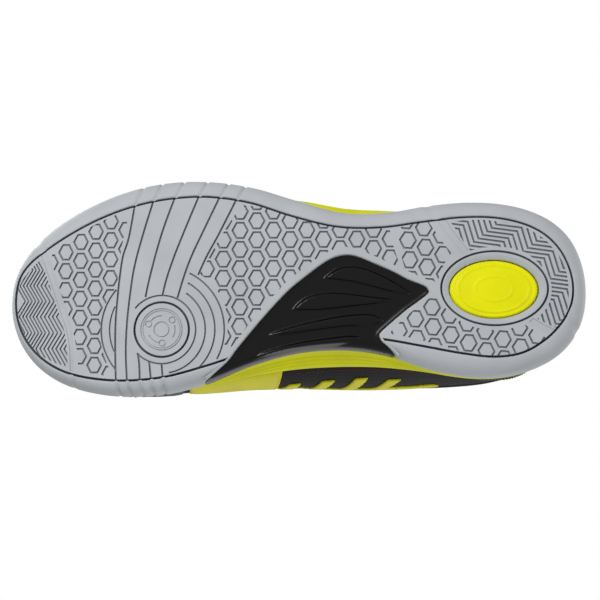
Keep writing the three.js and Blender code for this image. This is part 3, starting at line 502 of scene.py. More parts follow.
    def arc(r, a0, a1, w, dep, c=C):
        n = max(6, int(abs(a1 - a0) / 5))
        pts = [(c[0] + r * math.cos(math.radians(a0 + (a1 - a0) * i / n)), c[1] + r * math.sin(math.radians(a0 + (a1 - a0) * i / n))) for i in range(n + 1)]
        feats.append((lay(ribbon(pts, w)), [], None, dep))

    def ringf(r, w, dep, c=C, n=64):
        o = lay([(c[0] + (r + w / 2) * math.cos(2 * math.pi * i / n), c[1] + (r + w / 2) * math.sin(2 * math.pi * i / n)) for i in range(n)])
        h = lay([(c[0] + (r - w / 2) * math.cos(2 * math.pi * i / n), c[1] + (r - w / 2) * math.sin(2 * math.pi * i / n)) for i in range(n)])
        feats.append((o, [h], None, dep))
    ringf(27.2, 2.3, 2.2)
    ringf(20.6, 1.2, 0.6)
    ringf(18.6, 0.9, 0.45)
    ringf(7.4, 1.2, 0.6)
    for dx, dy in [(-13, -5.3), (10.5, -9.4), (0.8, 13.6)]:
        ringf(3.0, 1.0, 0.6, (C[0] + dx, C[1] + dy), 20)
    for a0 in (-75 - 66, -75 + 58, -75 + 178):
        arc(13.6, a0, a0 + 52, 1.2, 0.6)
    arc(34, -142, 136, 1.7, 1.1)
    arc(43.6, -56, 80, 1.7, 1.1)
    arc(53.2, -61, 50, 1.7, 1.1)
    arc(62.6, -64, 28, 1.7, 1.1)
    arc(60.6, 139, 221, 1.7, 1.1)
    arc(52.2, 155, 206, 1.5, 1.1)
    # fine groove round the heel opening
    n = 96
    def er(rx, ry):
        return lay([(494.9 + rx * math.cos(2 * math.pi * i / n), 288 + ry * math.sin(2 * math.pi * i / n)) for i in range(n)])
    feats.append((er(54.6, 38.2), [er(52.4, 36.0)], None, 1.6))

    # arrangement
    pts, edges = [], []

    def add(poly, closed=True):
        s = len(pts)
        for q in poly:
            pts.append(Vector((float(q[0]), float(q[1]))))
        m = len(poly)
        for i in range(m if closed else m - 1):
            edges.append((s + i, s + (i + 1) % m))
    add(edge)
    add(win, closed=False)
    add(heel_hole)
    for z in zones:
        add(z)
    for o, hs, z, dep in feats:
        add(o)
        for h in hs:
            add(h)
    gx, gy = np.meshgrid(np.arange(-56, 60, 4.0), np.arange(-150, 150, 4.0))
    gp = np.stack([gx.ravel() + (np.round(gy.ravel() / 4) % 2) * 2.0, gy.ravel()], 1)
    gp = gp[inside(edge, gp) & ~inside(win_poly, gp) & ~inside(heel_hole, gp)]
    for q in gp:
        pts.append(Vector((float(q[0]), float(q[1]))))
    vs, es, fs, _, _, _ = geometry.delaunay_2d_cdt(pts, edges, [], 0, 1e-5)
    V = np.array([[v.x, v.y] for v in vs])
    T = np.array([f for f in fs if len(f) == 3], int)
    cen = V[T].mean(1)
    ok = inside(edge, cen) & ~inside(win_poly, cen) & ~inside(heel_hole, cen)
    T, cen = T[ok], cen[ok]
    dep = np.zeros(len(T))
    for o, hs, z, d in feats:
        k = inside(o, cen)
        for h in hs:
            k &= ~inside(h, cen)
        if z is not None:
            k &= inside(z, cen)
        dep[k] = np.maximum(dep[k], d)
    levels = sorted(set(np.round(dep, 3)))
    dep = np.round(dep, 3)
    verts, faces, flat, idx = [], [], [], []
    lut = {}

    def vid(i, d):
        key = (i, d)
        if key not in lut:
            lut[key] = len(verts)
            verts.append((V[i, 0], V[i, 1], float(spring(V[i, 1])) + d))
        return lut[key]
    e2t = {}
    for ti, (t, d) in enumerate(zip(T, dep)):
        faces.append((vid(t[0], d), vid(t[2], d), vid(t[1], d)))
        flat.append(False)
        # painted shade: groove floors take darker rubber, the deeper the groove the darker
        idx.append(2 if d > 1.5 else 1 if d > 0.9 else 0)
        for p, q in ((t[0], t[1]), (t[1], t[2]), (t[2], t[0])):
            e2t.setdefault((min(p, q), max(p, q)), []).append((p, q, d))
    for (p, q), l in e2t.items():
        if len(l) == 2 and l[0][2] == l[1][2]:
            continue
        if len(l) == 2:
            d0, d1 = sorted((l[0][2], l[1][2]))
        else:
            d0, d1 = l[0][2], 2.6       # outer edge runs down into the rim groove or the openings
        s = len(verts)
        for i, d in ((p, d0), (q, d0), (q, d1), (p, d1)):
            verts.append((V[i, 0], V[i, 1], float(spring(V[i, 1])) + d))
        faces.append((s, s + 1, s + 2, s + 3))
        flat.append(True)
        idx.append(0)
    o = obj("outsole_tread", verts, faces, MT["rubber"], smooth=True, fix=False, flat=flat, mats=[MT["rubber_groove_painted_shade"], MT["rubber_deep_groove_painted_shade"]], mat_idx=idx)
    return o


# notches where the flex grooves and channels run over the rim: (side, y at the tread edge, lean, half width, depth)
NOTCH = [(1, P(134.2, 204)[1], 0.42, 0.75, 0.9), (1, P(153.2, 199)[1], 0.42, 0.75, 0.9), (1, P(175.5, 195.5)[1], 0.42, 0.75, 0.9),
         (1, P(199.4, 194.5)[1], 0.42, 0.75, 0.9), (1, P(220.6, 195.5)[1], 0.42, 0.75, 0.9), (1, P(237.6, 197)[1], 0.42, 0.75, 0.9),
         (1, P(40.4, 251)[1], -0.55, 1.9, 0.55), (-1, P(71.8, 373)[1], 0.25, 1.1, 0.55),
         (-1, P(116.9, 381)[1], 0.3, 0.8, 1.0), (-1, P(128, 381)[1], 0.3, 0.8, 1.0), (-1, P(140.8, 381)[1], 0.22, 0.8, 1.0),
         (-1, P(152.2, 381)[1], 0.16, 0.8, 1.0), (-1, P(163.8, 379)[1], 0.1, 0.8, 1.0),
         (1, P(437.5, 215)[1], -0.45, 2.0, 0.5), (-1, P(570, 340)[1], 0.5, 1.2, 0.5)]


def build_rim():
    th = np.linspace(0, math.pi, 1400)
    A, An = loop("widest", th)
    B, Bn = loop("tread", th)
    seg = np.linalg.norm(np.roll(A, -1, 0) - A, axis=1)
    s = np.concatenate([[0], np.cumsum(seg)])
    tot = s[-1]
    n = 1250
    tgt = np.linspace(0, tot, n, endpoint=False)
    k = np.clip(np.searchsorted(s, tgt), 0, len(A) - 1)
    A, An, B, Bn = A[k], An[k], B[k], Bn[k]
    # smooth the plan normals a little
    for _ in range(6):
        An = (np.roll(An, 1, 0) + An * 2 + np.roll(An, -1, 0))
        An /= np.linalg.norm(An, axis=1)[:, None]
    def mixAB(t):
        return B + (A - B) * t
    rows = [
        (B - Bn * 1.5, 2.2), (B - Bn * 0.32, 2.2), (B - Bn * 0.12, 1.0), (B + Bn * 0.02, 0.28), (mixAB(0.05), 0.14),
        (mixAB(0.16), 0.22), (mixAB(0.30), 0.50), (mixAB(0.45), 0.98), (mixAB(0.60), 1.75), (mixAB(0.74), 2.9), (mixAB(0.86), 4.3),
        (mixAB(0.95), 5.9), (A - An * 0.05, 7.6), (A, 9.0), (A - An * 0.15, 10.6), (A - An * 0.45, 11.9), (A - An * 0.95, 12.55),
        (A - An * 1.8, 12.75), (A - An * 2.6, 12.5), (A - An * 2.9, 11.0), (A - An * 3.2, 7.0), (A - An * 6.0, 4.2)]
    m = len(rows)
    V = np.zeros((n, m, 3))
    for j, (p, z) in enumerate(rows):
        V[:, j, 0], V[:, j, 1] = p[:, 0], p[:, 1]
        V[:, j, 2] = spring(p[:, 1]) + z
    side = np.where(A[:, 0] > 0, 1, -1)
    dist = np.linalg.norm(A - B, axis=1)
    for sd, y0, lean, hw, dp in NOTCH:
        for j in range(3, 16):
            p = rows[j][0]
            out = np.linalg.norm(p - B, axis=1)
            yy = y0 + lean * out
            w = np.exp(-((p[:, 1] - yy) / hw) ** 4) * (side == sd)
            if abs(y0) > 125:
                w *= (np.abs(p[:, 0]) > 8)
            fade = 1.0 if j < 14 else 0.6
            V[:, j, 0] -= An[:, 0] * w * dp * 0.8 * fade
            V[:, j, 1] -= An[:, 1] * w * dp * 0.8 * fade
            V[:, j, 2] += w * dp * 0.7 * (1 if j < 12 else 0)
    # the rim stops where the arch opening's line crosses it: every row is cut at its own crossing
    win_poly = window_region(0.0)
    mid = int(np.argmin(np.abs(A[:, 1] - 2) + (A[:, 0] > 0) * 1e3))
    W = np.roll(V, -mid, 0)
    L = 60
    starts, ends = [], []
    for j in range(m):
        ins = inside(win_poly, W[:, j, :2])
        out = np.where(~ins)[0]
        starts.append(out.min())
        ends.append(out.max())
    i0, i1 = max(starts), min(ends)
    rows_a = []
    for j in range(m):
        a_, b_ = starts[j], ends[j]
        s_ = np.concatenate([np.linspace(a_, i0 + L, L, endpoint=False), np.arange(i0 + L, i1 - L), np.linspace(i1 - L, b_, L)])
        k0 = np.floor(s_).astype(int)
        k1 = np.minimum(k0 + 1, n - 1)
        fr = (s_ - k0)[:, None]
        rows_a.append(W[k0, j] * (1 - fr) + W[k1, j] * fr)
    W = np.stack(rows_a, 1)
    order = range(len(W))
    f = grid_faces(len(order), m, wrap_m=True)
    verts = W.reshape(-1, 3)
    caps = [tuple(range(m)), tuple((len(order) - 1) * m + j for j in range(m - 1, -1, -1))]
    # painted shade: the floor and inner wall of the groove between tread and rim take the darkest rubber
    o = obj("outsole_rim", verts, f + caps, MT["rubber"], fix=True, flat=[False] * len(f) + [True, True], mats=[MT["rubber_deep_groove_painted_shade"]],
            mat_idx=[1 if (i % m) in (0, 1) else 0 for i in range(len(f))] + [0, 0])
    # lip round the arch opening and sloped ring round the heel opening
    core = window_outline(0)
    t = np.gradient(core, axis=0)
    t /= np.linalg.norm(t, axis=1)[:, None]
    nn = np.stack([t[:, 1], -t[:, 0]], 1)
    prof = [(1.05, 0.0), (0.75, 0.03), (0.45, 0.14), (0.2, 0.36), (0.05, 0.7), (0.0, 1.1), (0.0, 4.2)]
    vv = np.zeros((len(core), len(prof), 3))
    for j, (o1, z) in enumerate(prof):
        q = core + nn * o1
        vv[:, j, 0], vv[:, j, 1] = q[:, 0], q[:, 1]
        vv[:, j, 2] = spring(q[:, 1]) + z
    obj("outsole_arch_lip", vv.reshape(-1, 3), grid_faces(len(core), len(prof)), MT["rubber"], fix=True)
    n2 = 96
    a = np.linspace(0, 2 * math.pi, n2, endpoint=False)
    prof = [(3.0, 3.4, 0.0), (2.6, 3.0, 0.02), (2.2, 2.55, 0.12), (1.4, 1.7, 0.55), (0.6, 0.8, 1.0), (0.25, 0.3, 1.25), (0.05, 0.05, 1.6), (0.0, 0.0, 4.2)]
    vv = np.zeros((n2, len(prof), 3))
    for j, (ox, oy, z) in enumerate(prof):
        vv[:, j, 0] = HEEL_C[0] + (HEEL_R[0] + ox) * np.cos(a)
        vv[:, j, 1] = HEEL_C[1] + (HEEL_R[1] + oy) * np.sin(a)
        vv[:, j, 2] = spring(vv[:, j, 1]) + z
    obj("outsole_heel_ring", vv.reshape(-1, 3), grid_faces(n2, len(prof), wrap_n=True), MT["rubber"], fix=True)
    return o


tread = build_tread()
rim = build_rim()
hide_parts("outsole")

# ------------------------------------------------------------------ ARCH SHANK
FINGERS = [  # stations along each raised finger: drawing x, y, half width (mm); and its height (mm)
    ([(326, 277.4, 0.9), (334, 275.0, 2.6), (343, 273.4, 3.9), (355.3, 273.9, 4.5), (369, 277.6, 4.4), (383.4, 282.6, 3.7), (397, 288.2, 2.7), (408, 292.6, 1.3)], 2.1),
    ([(294.6, 308.6, 0.9), (302, 305.4, 2.8), (313.2, 302.4, 4.4), (327, 300.6, 4.7), (341.3, 299.9, 4.3), (356, 299.8, 3.4), (372, 300.0, 2.4), (395, 299.4, 0.7)], 2.0),
    ([(270.4, 334.4, 0.6), (281, 332.0, 1.6), (293.6, 329.4, 2.3), (317, 324.9, 2.9), (341.3, 321.0, 3.3), (359, 319.6, 3.5), (372, 319.4, 3.2), (381, 319.6, 1.4)], 1.9),
    ([(252.9, 358.2, 0.6), (266, 353.0, 1.3), (285.2, 347.9, 1.8), (303, 344.6, 2.2), (320.2, 342.2, 2.4), (337, 340.2, 2.5), (350, 338.4, 2.2), (361, 336.8, 0.8)], 1.6),
]


def line_dist(L, V):
    """Distance from points to a polyline, and where along it (0..1) the nearest point lies."""
    seg = np.linalg.norm(np.diff(L, axis=0), axis=1)
    cum = np.concatenate([[0], np.cumsum(seg)])
    best, at = np.full(len(V), 1e18), np.zeros(len(V))
    for i in range(len(L) - 1):
        e = L[i + 1] - L[i]
        l2 = float(e @ e)
        if l2 < 1e-12:
            continue
        t = np.clip(((V - L[i]) @ e) / l2, 0, 1)
        q = np.linalg.norm(V - (L[i] + t[:, None] * e), axis=1)
        k = q < best
        best[k] = q[k]
        at[k] = (cum[i] + t[k] * seg[i]) / cum[-1]
    return best, at


def smooth_seg(a, b, n):
    return np.array([a + (b - a) * k / n for k in range(n + 1)])


def build_shank():
    win = window_outline(-0.35)
    th = np.linspace(0, math.pi, 400)
    A, An = loop("widest", th)
    med = A[(A[:, 0] < 0) & (A[:, 1] > -60) & (A[:, 1] < 62)]
    nm = An[(A[:, 0] < 0) & (A[:, 1] > -60) & (A[:, 1] < 62)]
    rim = med - nm * 0.25
    rim = rim[np.argsort(-rim[:, 1])]     # heel to toe
    win = window_region(-0.35)[:-2]
    win = np.vstack([smooth_seg(win[0], win[1], 14), win[2:-2], smooth_seg(win[-2], win[-1], 14)])
    # the opening's line where it is inside the medial edge, then back along the medial edge
    from_edge = poly_sd(loop("widest", th)[0] - loop("widest", th)[1] * 0.25, win)
    w = win[from_edge > 0.1]
    rim = rim[(rim[:, 1] < w[-1, 1] - 0.2) & (rim[:, 1] > w[0, 1] + 0.2)]
    outline = np.vstack([w, rim])
    gx, gy = np.meshgrid(np.arange(-52, 22, 0.62), np.arange(-62, 68, 0.62))
    gp = np.stack([gx.ravel() + (np.round(gy.ravel() / 0.62) % 2) * 0.31, gy.ravel()], 1)
    d = poly_sd(outline, gp)
    gp = gp[d > 0.3]
    pts = [Vector((float(a), float(b))) for a, b in outline]
    n = len(pts)
    edges = [(i, (i + 1) % n) for i in range(n)]
    pts += [Vector((float(a), float(b))) for a, b in gp]
    vs, es, fs, _, _, _ = geometry.delaunay_2d_cdt(pts, edges, [], 0, 1e-5)
    V = np.array([[v.x, v.y] for v in vs])
    T = np.array([f for f in fs if len(f) == 3], int)
    T = T[inside(outline, V[T].mean(1))]
    full = loop("widest", th)[0]
    me = np.maximum(0, poly_sd(full, V))           # distance inside the medial edge
    wi = line_dist(w, V)[0]                        # distance from the opening's line
    rim_z = np.interp(me / 7.4, [0, 0.05, 0.14, 0.26, 0.40, 0.55, 0.70, 0.84, 1.0], [8.6, 6.4, 4.7, 3.2, 2.0, 1.2, 0.75, 0.5, 0.4])
    plate = 2.0 - 0.35 * np.exp(-(wi / 1.5) ** 2)
    z = np.maximum(plate, rim_z + 0.35)
    for line, h in FINGERS:
        q = np.array([(*P(x, y), w_) for x, y, w_ in line])
        L3 = smooth_line(q, 8)
        L, W_ = L3[:, :2], L3[:, 2]
        dm, sw = line_dist(L, V)
        cum = np.concatenate([[0], np.cumsum(np.linalg.norm(np.diff(L, axis=0), axis=1))])
        wid = np.maximum(0.4, np.interp(sw * cum[-1], cum, W_))
        u = np.clip(1 - dm / wid, 0, 1)
        sm = np.clip(u * wid / 1.7, 0, 1)
        sm = sm * sm * (3 - 2 * sm)
        z = z - h * sm * (0.8 + 0.2 * np.sqrt(u)) * np.clip((wi - 0.6) / 3.0, 0.0, 1) * np.clip(me / 4.0, 0.15, 1)
    z = np.clip(z, 0.35, 9.2)
    arch = np.exp(-((V[:, 1] - 2) / 44.0) ** 4)
    wall_top = 12.6 * (1 - arch) + 7.2 * arch + 0.6
    verts = [(x, y, zz + float(spring(y))) for (x, y), zz in zip(V, z)]
    faces = [tuple(t[::-1]) for t in T]
    # side wall up from the outline
    cnt = {}
    for t in T:
        for p, q in ((t[0], t[1]), (t[1], t[2]), (t[2], t[0])):
            cnt.setdefault((min(p, q), max(p, q)), []).append((p, q))
    flat = [False] * len(faces)
    for (p, q), l in cnt.items():
        if len(l) == 1:
            s = len(verts)
            for i in (p, q):
                verts.append((V[i, 0], V[i, 1], verts[i][2]))
            for i in (q, p):
                verts.append((V[i, 0], V[i, 1], max(float(wall_top[i]), float(z[i]) + 0.3) + float(spring(V[i, 1]))))
            faces.append((s, s + 1, s + 2, s + 3))
            flat.append(False)
    o = obj("arch_shank_plate", verts, faces, MT["gloss"], fix=False, flat=flat)
    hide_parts("arch_shank")
    return o


def build_cushion():
    n, m = 96, 40
    a = np.linspace(0, 2 * math.pi, n, endpoint=False)
    r = np.linspace(0, 1, m)
    V = np.zeros((n, m, 3))
    for j, t in enumerate(r):
        z = 0.45 + 1.1 * t ** 3
        z -= 0.42 * math.exp(-((t - 0.80) / 0.022) ** 2)     # oval rib
        z -= 0.30 * math.exp(-((t - 0.42) / 0.03) ** 2)      # inner oval rib
        z += 0.22 * math.exp(-((t - 0.87) / 0.03) ** 2)
        if t > 0.955:
            z += 3.0 * ((t - 0.955) / 0.045) ** 2 * 0.7
        V[:, j, 0] = HEEL_C[0] + (HEEL_R[0] - 0.25) * t * np.cos(a)
        V[:, j, 1] = HEEL_C[1] + (HEEL_R[1] - 0.25) * t * np.sin(a)
        V[:, j, 2] = z + spring(V[:, j, 1])
    verts = V.reshape(-1, 3)
    o = obj("heel_cushion_dome", verts, grid_faces(n, m, wrap_n=True), MT["gel"], fix=True)
    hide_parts("heel_cushion")


# ------------------------------------------------------------------ MIDSOLE
WAIST = 3.4      # how far the foam leans out over the narrow waist, outer side


def build_midsole():
    n = 420
    th = np.linspace(0, math.pi, n)
    A, An = loop("widest", th)
    F, Fn = loop("feather", th)
    for _ in range(8):
        An = np.roll(An, 1, 0) + 2 * An + np.roll(An, -1, 0); An /= np.linalg.norm(An, axis=1)[:, None]
        Fn = np.roll(Fn, 1, 0) + 2 * Fn + np.roll(Fn, -1, 0); Fn /= np.linalg.norm(Fn, axis=1)[:, None]
    toe = np.clip((-104 - F[:, 1]) / 30, 0, 1)
    toe = toe * toe * (3 - 2 * toe)
    T = F + Fn * (1.7 + 1.5 * toe)[:, None]
    ztop = feather_z(F[:, 1]) - 0.1 + 3.0 * toe
    zr = spring(A[:, 1]) + 12.6
    med = (A[:, 0] < 0)
    arch = np.exp(-((A[:, 1] - 2) / 44.0) ** 4) * med      # no cup wall beside the arch: the foam comes down to the shank
    zlow = zr * (1 - arch) + (spring(A[:, 1]) + 7.2) * arch
    fore = np.exp(-((A[:, 1] + 100) / 46.0) ** 4) * med
    waist = WAIST * np.exp(-((A[:, 1] - 25) / 32.0) ** 4) * (A[:, 0] > 0)
    rows = []
    rows.append((A - An * 9, zlow * 0 + spring(A[:, 1]) + 7.5))
    rows.append((A - An * (3.3 - 2.9 * arch[:, None]), zlow - 0.4))
    K2 = 26
    for k in range(K2 + 1):
        t = k / K2
        s = 0.5 - 0.5 * math.cos(math.pi * t)
        p = (A - An * (0.75 - 0.2 * arch[:, None])) * (1 - s) + T * s
        bul = math.sin(math.pi * min(1, t * 1.02)) * (0.8 - 0.9 * fore) - 0.9 * fore * (1 - t)
        p = p + Fn * bul[:, None]
        p = p + An * (waist * math.sin(math.pi * min(1, 0.12 + t * 0.86)))[:, None]
        z = zlow + (ztop - zlow) * (t ** 0.9)
        line = 0.0
        for c in (0.30, 0.46, 0.62):
            line += math.exp(-((t - c) / 0.03) ** 2)
        p = p - Fn * 0.42 * line * (0.35 + 0.65 * np.clip(np.exp(-((A[:, 1] - 20) / 95.0) ** 4), 0, 1))[:, None]
        rows.append((p, z + 0.02))
    rows.append((T - Fn * 0.6, ztop + 0.35))
    rows.append((T - Fn * 3.0, ztop + 0.2))
    V = np.zeros((len(A), len(rows), 3))
    for j, (p, z) in enumerate(rows):
        V[:, j, 0], V[:, j, 1], V[:, j, 2] = p[:, 0], p[:, 1], z
    verts = V.reshape(-1, 3)
    f = grid_faces(len(A), len(rows), wrap_n=True)
    o = obj("midsole_foam_wall", verts, f, MT["foam"], fix=True)
    # the top of the foam, under the board, keeps the cavity closed from above
    top = V[:, -1, :]
    lat, md = top[:n], np.vstack([top[:1], top[n:][::-1], top[n - 1:n]])
    vv, m = [], 9
    for i in range(n):
        for j in range(m):
            s = j / (m - 1)
            vv.append(lat[i] * (1 - s) + md[i] * s)
    obj("midsole_top_sheet", vv, grid_faces(n, m), MT["foam"], fix=True)
    # underside seen past the openings
    bot = []
    pA = (A - An * 3.6)
    lat, md = pA[:n], np.vstack([pA[:1], pA[n:][::-1], pA[n - 1:n]])
    for i in range(n):
        for j in range(m):
            s = j / (m - 1)
            q = lat[i] * (1 - s) + md[i] * s
            bot.append((q[0], q[1], 8.8 + float(spring(q[1]))))
    obj("midsole_underside", bot, grid_faces(n, m), MT["foam"], fix=True)
    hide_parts("midsole")


build_shank()
build_cushion()
build_midsole()

# ------------------------------------------------------------------ LASTED SURFACE
ridge_z = curve([[-126, 49.4], [-112, 53.4], [-98, 57.0], [-84, 60.6], [-70, 65.0], [-55, 71.0], [-40, 78.0], [-20, 88.6], [0, 99.4], [20, 110], [36, 117.5], [52, 122.5], [75, 126], [100, 126], [120, 123], [132, 119]])
ridge_y = by_angle([-124, -120, -109, -92, -68, -39, -4, 32, 66, 94, 114, 126, 130])
ridge_x = by_angle([-3.5, -3.5, -3.4, -3.2, -2.6, -1.6, -0.6, 0, 0.6, 1, 1.2, 1.4, 1.4])
bulge = by_angle([3, 3.4, 4, 5, 6, 6, 5, 5, 5.5, 5.5, 5.5, 5, 4])
bulge_arch = by_angle([0, 0, 0, 0, 0.5, 7, 16, 16.5, 6.5, 0.5, 0, 0, 0])
rise = by_angle([11, 12, 14, 17, 20, 25, 32, 42, 52, 56, 55, 53, 52])
crown = by_angle([9, 13, 19, 25, 28, 27, 24, 24, 26, 26, 21, 13, 9])


def last_points(th, t, side, f, n):
    yr = ridge_y(th)
    sl = ridge_z(yr + 0.5) - ridge_z(yr - 0.5)
    a = bulge(th) + (bulge_arch(th) if side < 0 else 0)
    P0 = np.stack([f[:, 0], f[:, 1], feather_z(f[:, 1]) + 0.6], 1)
    P1 = P0 + np.stack([n[:, 0] * a, n[:, 1] * a, rise(th)], 1)
    P3 = np.stack([ridge_x(th), yr, ridge_z(yr)], 1)
    c = crown(th)
    P2 = P3 + np.stack([n[:, 0] * c, n[:, 1] * c, n[:, 1] * c * sl], 1)
    out = []
    for s in t:
        u = 1 - s
        p = u ** 3 * P0 + 3 * u * u * s * P1 + 3 * u * s * s * P2 + s ** 3 * P3
        h = np.exp(-((p[:, 2] - 86) / 17) ** 2) * np.clip((p[:, 1] - 95) / 45, 0, 1) * 3.2
        q = p.copy()
        q[:, 0] -= n[:, 0] * h * 0.6
        q[:, 1] -= np.maximum(0, n[:, 1]) * h
        out.append(q)
    return np.stack(out, 1)


def last_sheet(n, m):
    th = np.linspace(0, math.pi, n + 1)
    p, nn = loop("feather", th)
    for _ in range(max(2, n // 24)):
        nn = np.roll(nn, 1, 0) + 2 * nn + np.roll(nn, -1, 0)
        nn /= np.linalg.norm(nn, axis=1)[:, None]
    fl, nl = p[:n + 1], nn[:n + 1].copy()
    fm = np.vstack([p[:1], p[n + 1:][::-1], p[n:n + 1]])
    nm = np.vstack([nn[:1], nn[n + 1:][::-1], nn[n:n + 1]]).copy()
    for q in (nl, nm):
        q[0] = (0, -1)
        q[-1] = (0, 1)
    t = np.linspace(0, 1, m + 1)
    L = last_points(th, t, 1, fl, nl)
    R = last_points(th, t, -1, fm, nm)
    C = 2 * m + 1
    G = np.concatenate([L, R[:, ::-1][:, 1:]], 1)       # (n+1, C, 3)
    ids = np.arange((n + 1) * C).reshape(n + 1, C)
    for i in (0, n):
        for j in range(m + 1, C):
            ids[i, j] = ids[i, C - 1 - j]
    V = G.reshape(-1, 3)
    F = []
    for i in range(n):
        a, b, c, d = ids[i, :-1], ids[i, 1:], ids[i + 1, :-1], ids[i + 1, 1:]
        F.append(np.stack([a, c, d], 1))
        F.append(np.stack([a, d, b], 1))
    F = np.vstack(F)
    F = F[(F[:, 0] != F[:, 1]) & (F[:, 1] != F[:, 2]) & (F[:, 0] != F[:, 2])]
    fn = np.cross(V[F[:, 1]] - V[F[:, 0]], V[F[:, 2]] - V[F[:, 0]])
    N = np.zeros_like(V)
    for k in range(3):
        np.add.at(N, F[:, k], fn)
    if (N[:, 2] * (V[:, 2] - 40)).sum() < 0:
        F = F[:, ::-1]
        N = -N
    used = np.unique(F)
    N[used] /= np.linalg.norm(N[used], axis=1)[:, None]
    return compact((V, N, F))


def compact(S):
    V, N, F = S
    u, inv = np.unique(F, return_inverse=True)
    return V[u], N[u], inv.reshape(F.shape)


def clip(S, f):
    """Keeps the part of a sheet where f is positive, cutting triangles along f = 0."""
    V, N, F = S
    f = np.where(np.abs(f) < 1e-6, 1e-6, f)
    pos = f > 0
    k = pos[F].sum(1)
    keep = [F[k == 3]]
    nv, nn, cut = [], [], {}
    base = len(V)

    def cv(a, b):
        key = (a, b) if a < b else (b, a)
        if key not in cut:
            t = f[a] / (f[a] - f[b])
            cut[key] = base + len(nv)
            nv.append(V[a] + (V[b] - V[a]) * t)
            n = N[a] + (N[b] - N[a]) * t
            nn.append(n / np.linalg.norm(n))
        return cut[key]
    ex = []
    for tri in F[(k == 1) | (k == 2)]:
        a, b, c = (int(q) for q in tri)
        for _ in range(3):
            if pos[a] and not pos[b] and not pos[c]:
                ex.append((a, cv(a, b), cv(a, c)))
                break
            if pos[a] and pos[b] and not pos[c]:
                ex.append((a, b, cv(b, c)))
                ex.append((a, cv(b, c), cv(a, c)))
                break
            a, b, c = b, c, a
    if ex:
        keep.append(np.array(ex, int))
    F2 = np.vstack(keep)
    if nv:
        V, N = np.vstack([V, nv]), np.vstack([N, nn])
    # drop slivers
    ar = np.linalg.norm(np.cross(V[F2[:, 1]] - V[F2[:, 0]], V[F2[:, 2]] - V[F2[:, 0]]), axis=1)
    return compact((V, N, F2[ar > 1e-7]))


def thick(S, outer, inner, edge=0.35):
    """Closed shell between two offsets of a sheet; the outer edge is eased down by edge."""
    V, N, F = S
    n = len(V)
    cnt = {}
    for tri in F:
        for p, q in ((tri[0], tri[1]), (tri[1], tri[2]), (tri[2], tri[0])):
            p, q = int(p), int(q)
            if (q, p) in cnt:
                del cnt[(q, p)]
            else:
                cnt[(p, q)] = 1
    bnd = np.zeros(n, bool)
    for p, q in cnt:
        bnd[p] = bnd[q] = True
    o = np.full(n, float(outer)) - bnd * edge
    A = V + N * o[:, None]
    B = V + N * float(inner)
    faces = [tuple(t) for t in F] + [tuple(t[::-1] + n) for t in F]
    for p, q in cnt:
        faces.append((q, p, p + n, q + n))
    flat = [False] * (2 * len(F)) + [False] * len(cnt)
    return np.vstack([A, B]), faces, flat


def shell(name, S, outer, inner, material, edge=0.35, body="shoe", nodes=()):
    v, f, flat = thick(S, outer, inner, edge)
    o = obj(name, v, f, material, body=body, smooth=True, fix=False, flat=flat)
    for n in nodes:
        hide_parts(n)
    return o


BASE = last_sheet(150, 40)
FINE = last_sheet(330, 92)
bv = BVHTree.FromPolygons([Vector(v) for v in BASE[0]], [tuple(int(i) for i in t) for t in BASE[2]])


def on_hit(h):
    loc, nrm, idx, dist = h
    a, b, c = BASE[2][idx]
    A, B, C = BASE[0][a], BASE[0][b], BASE[0][c]
    p = np.array(loc)
    v0, v1, v2 = B - A, C - A, p - A
    d00, d01, d11, d20, d21 = v0 @ v0, v0 @ v1, v1 @ v1, v2 @ v0, v2 @ v1
    den = d00 * d11 - d01 * d01
    v = (d11 * d20 - d01 * d21) / den
    w = (d00 * d21 - d01 * d20) / den
    n = (1 - v - w) * BASE[1][a] + v * BASE[1][b] + w * BASE[1][c]
    return p, n / np.linalg.norm(n)


def on_top(x, y, off=0.0):
    h = bv.ray_cast(Vector((x, y, 300)), Vector((0, 0, -1)))
    if h[0] is None:
        h = bv.find_nearest(Vector((x, y, 60)))
    p, n = on_hit(h)
    return p + n * off


def top_n(x, y):
    h = bv.ray_cast(Vector((x, y, 300)), Vector((0, 0, -1)))
    if h[0] is None:
        h = bv.find_nearest(Vector((x, y, 60)))
    return on_hit(h)


def side_pt(s, y, z):
    h = bv.ray_cast(Vector((s * 150, y, z)), Vector((-s, 0, 0)))
    if h[0] is None:
        h = bv.find_nearest(Vector((s * 60, y, z)))
    return on_hit(h)


COLLAR = curve([[14, 104.5], [24, 99.5], [36, 92], [50, 84], [66, 77.5], [82, 74.5], [98, 76], [112, 82], [124, 90], [134, 95], [150, 97]])
SEAM = curve([[-40, -8], [20, -12], [40, -22], [58, -36], [76, -50], [260, -54]])


def yz(S):
    return S[0][:, [1, 2]]


def xy(S):
    return S[0][:, [0, 1]]


def THROAT(g):
    return np.array([[-13.5 - g, -36], [-12.2 - g * 0.9, -40.5 - g * 0.3], [-9 - g * 0.5, -44.5 - g * 0.55], [-5, -46.5 - g * 0.6], [2, -46.5 - g * 0.6], [6.4 + g * 0.5, -44.5 - g * 0.55], [9.8 + g * 0.9, -40.5 - g * 0.3], [11.5 + g, -36],
                     [18.5 + g, 14], [24 + g, 60], [-25 - g, 60], [-19 - g, 14]])


def throat_f(S, g=0.0):
    d = -poly_sd(THROAT(g), xy(S))
    return np.where(S[0][:, 2] > 40, d, np.abs(d) + 1)


def collar_f(S, drop=0.0):
    y, z = S[0][:, 1], S[0][:, 2]
    return np.where(y < 14, 3.0 + (14 - y) * 0.5, (COLLAR(np.maximum(y, 14)) - drop - z) * 0.8)


EY = [-37.5, -27.5, -17.5, -7.5, 2.0, 10.0]


def eyelet_x(y, s):
    return s * (19.0 + (25.6 - 19.0) * (y + 37.5) / 47.5) - 1.0


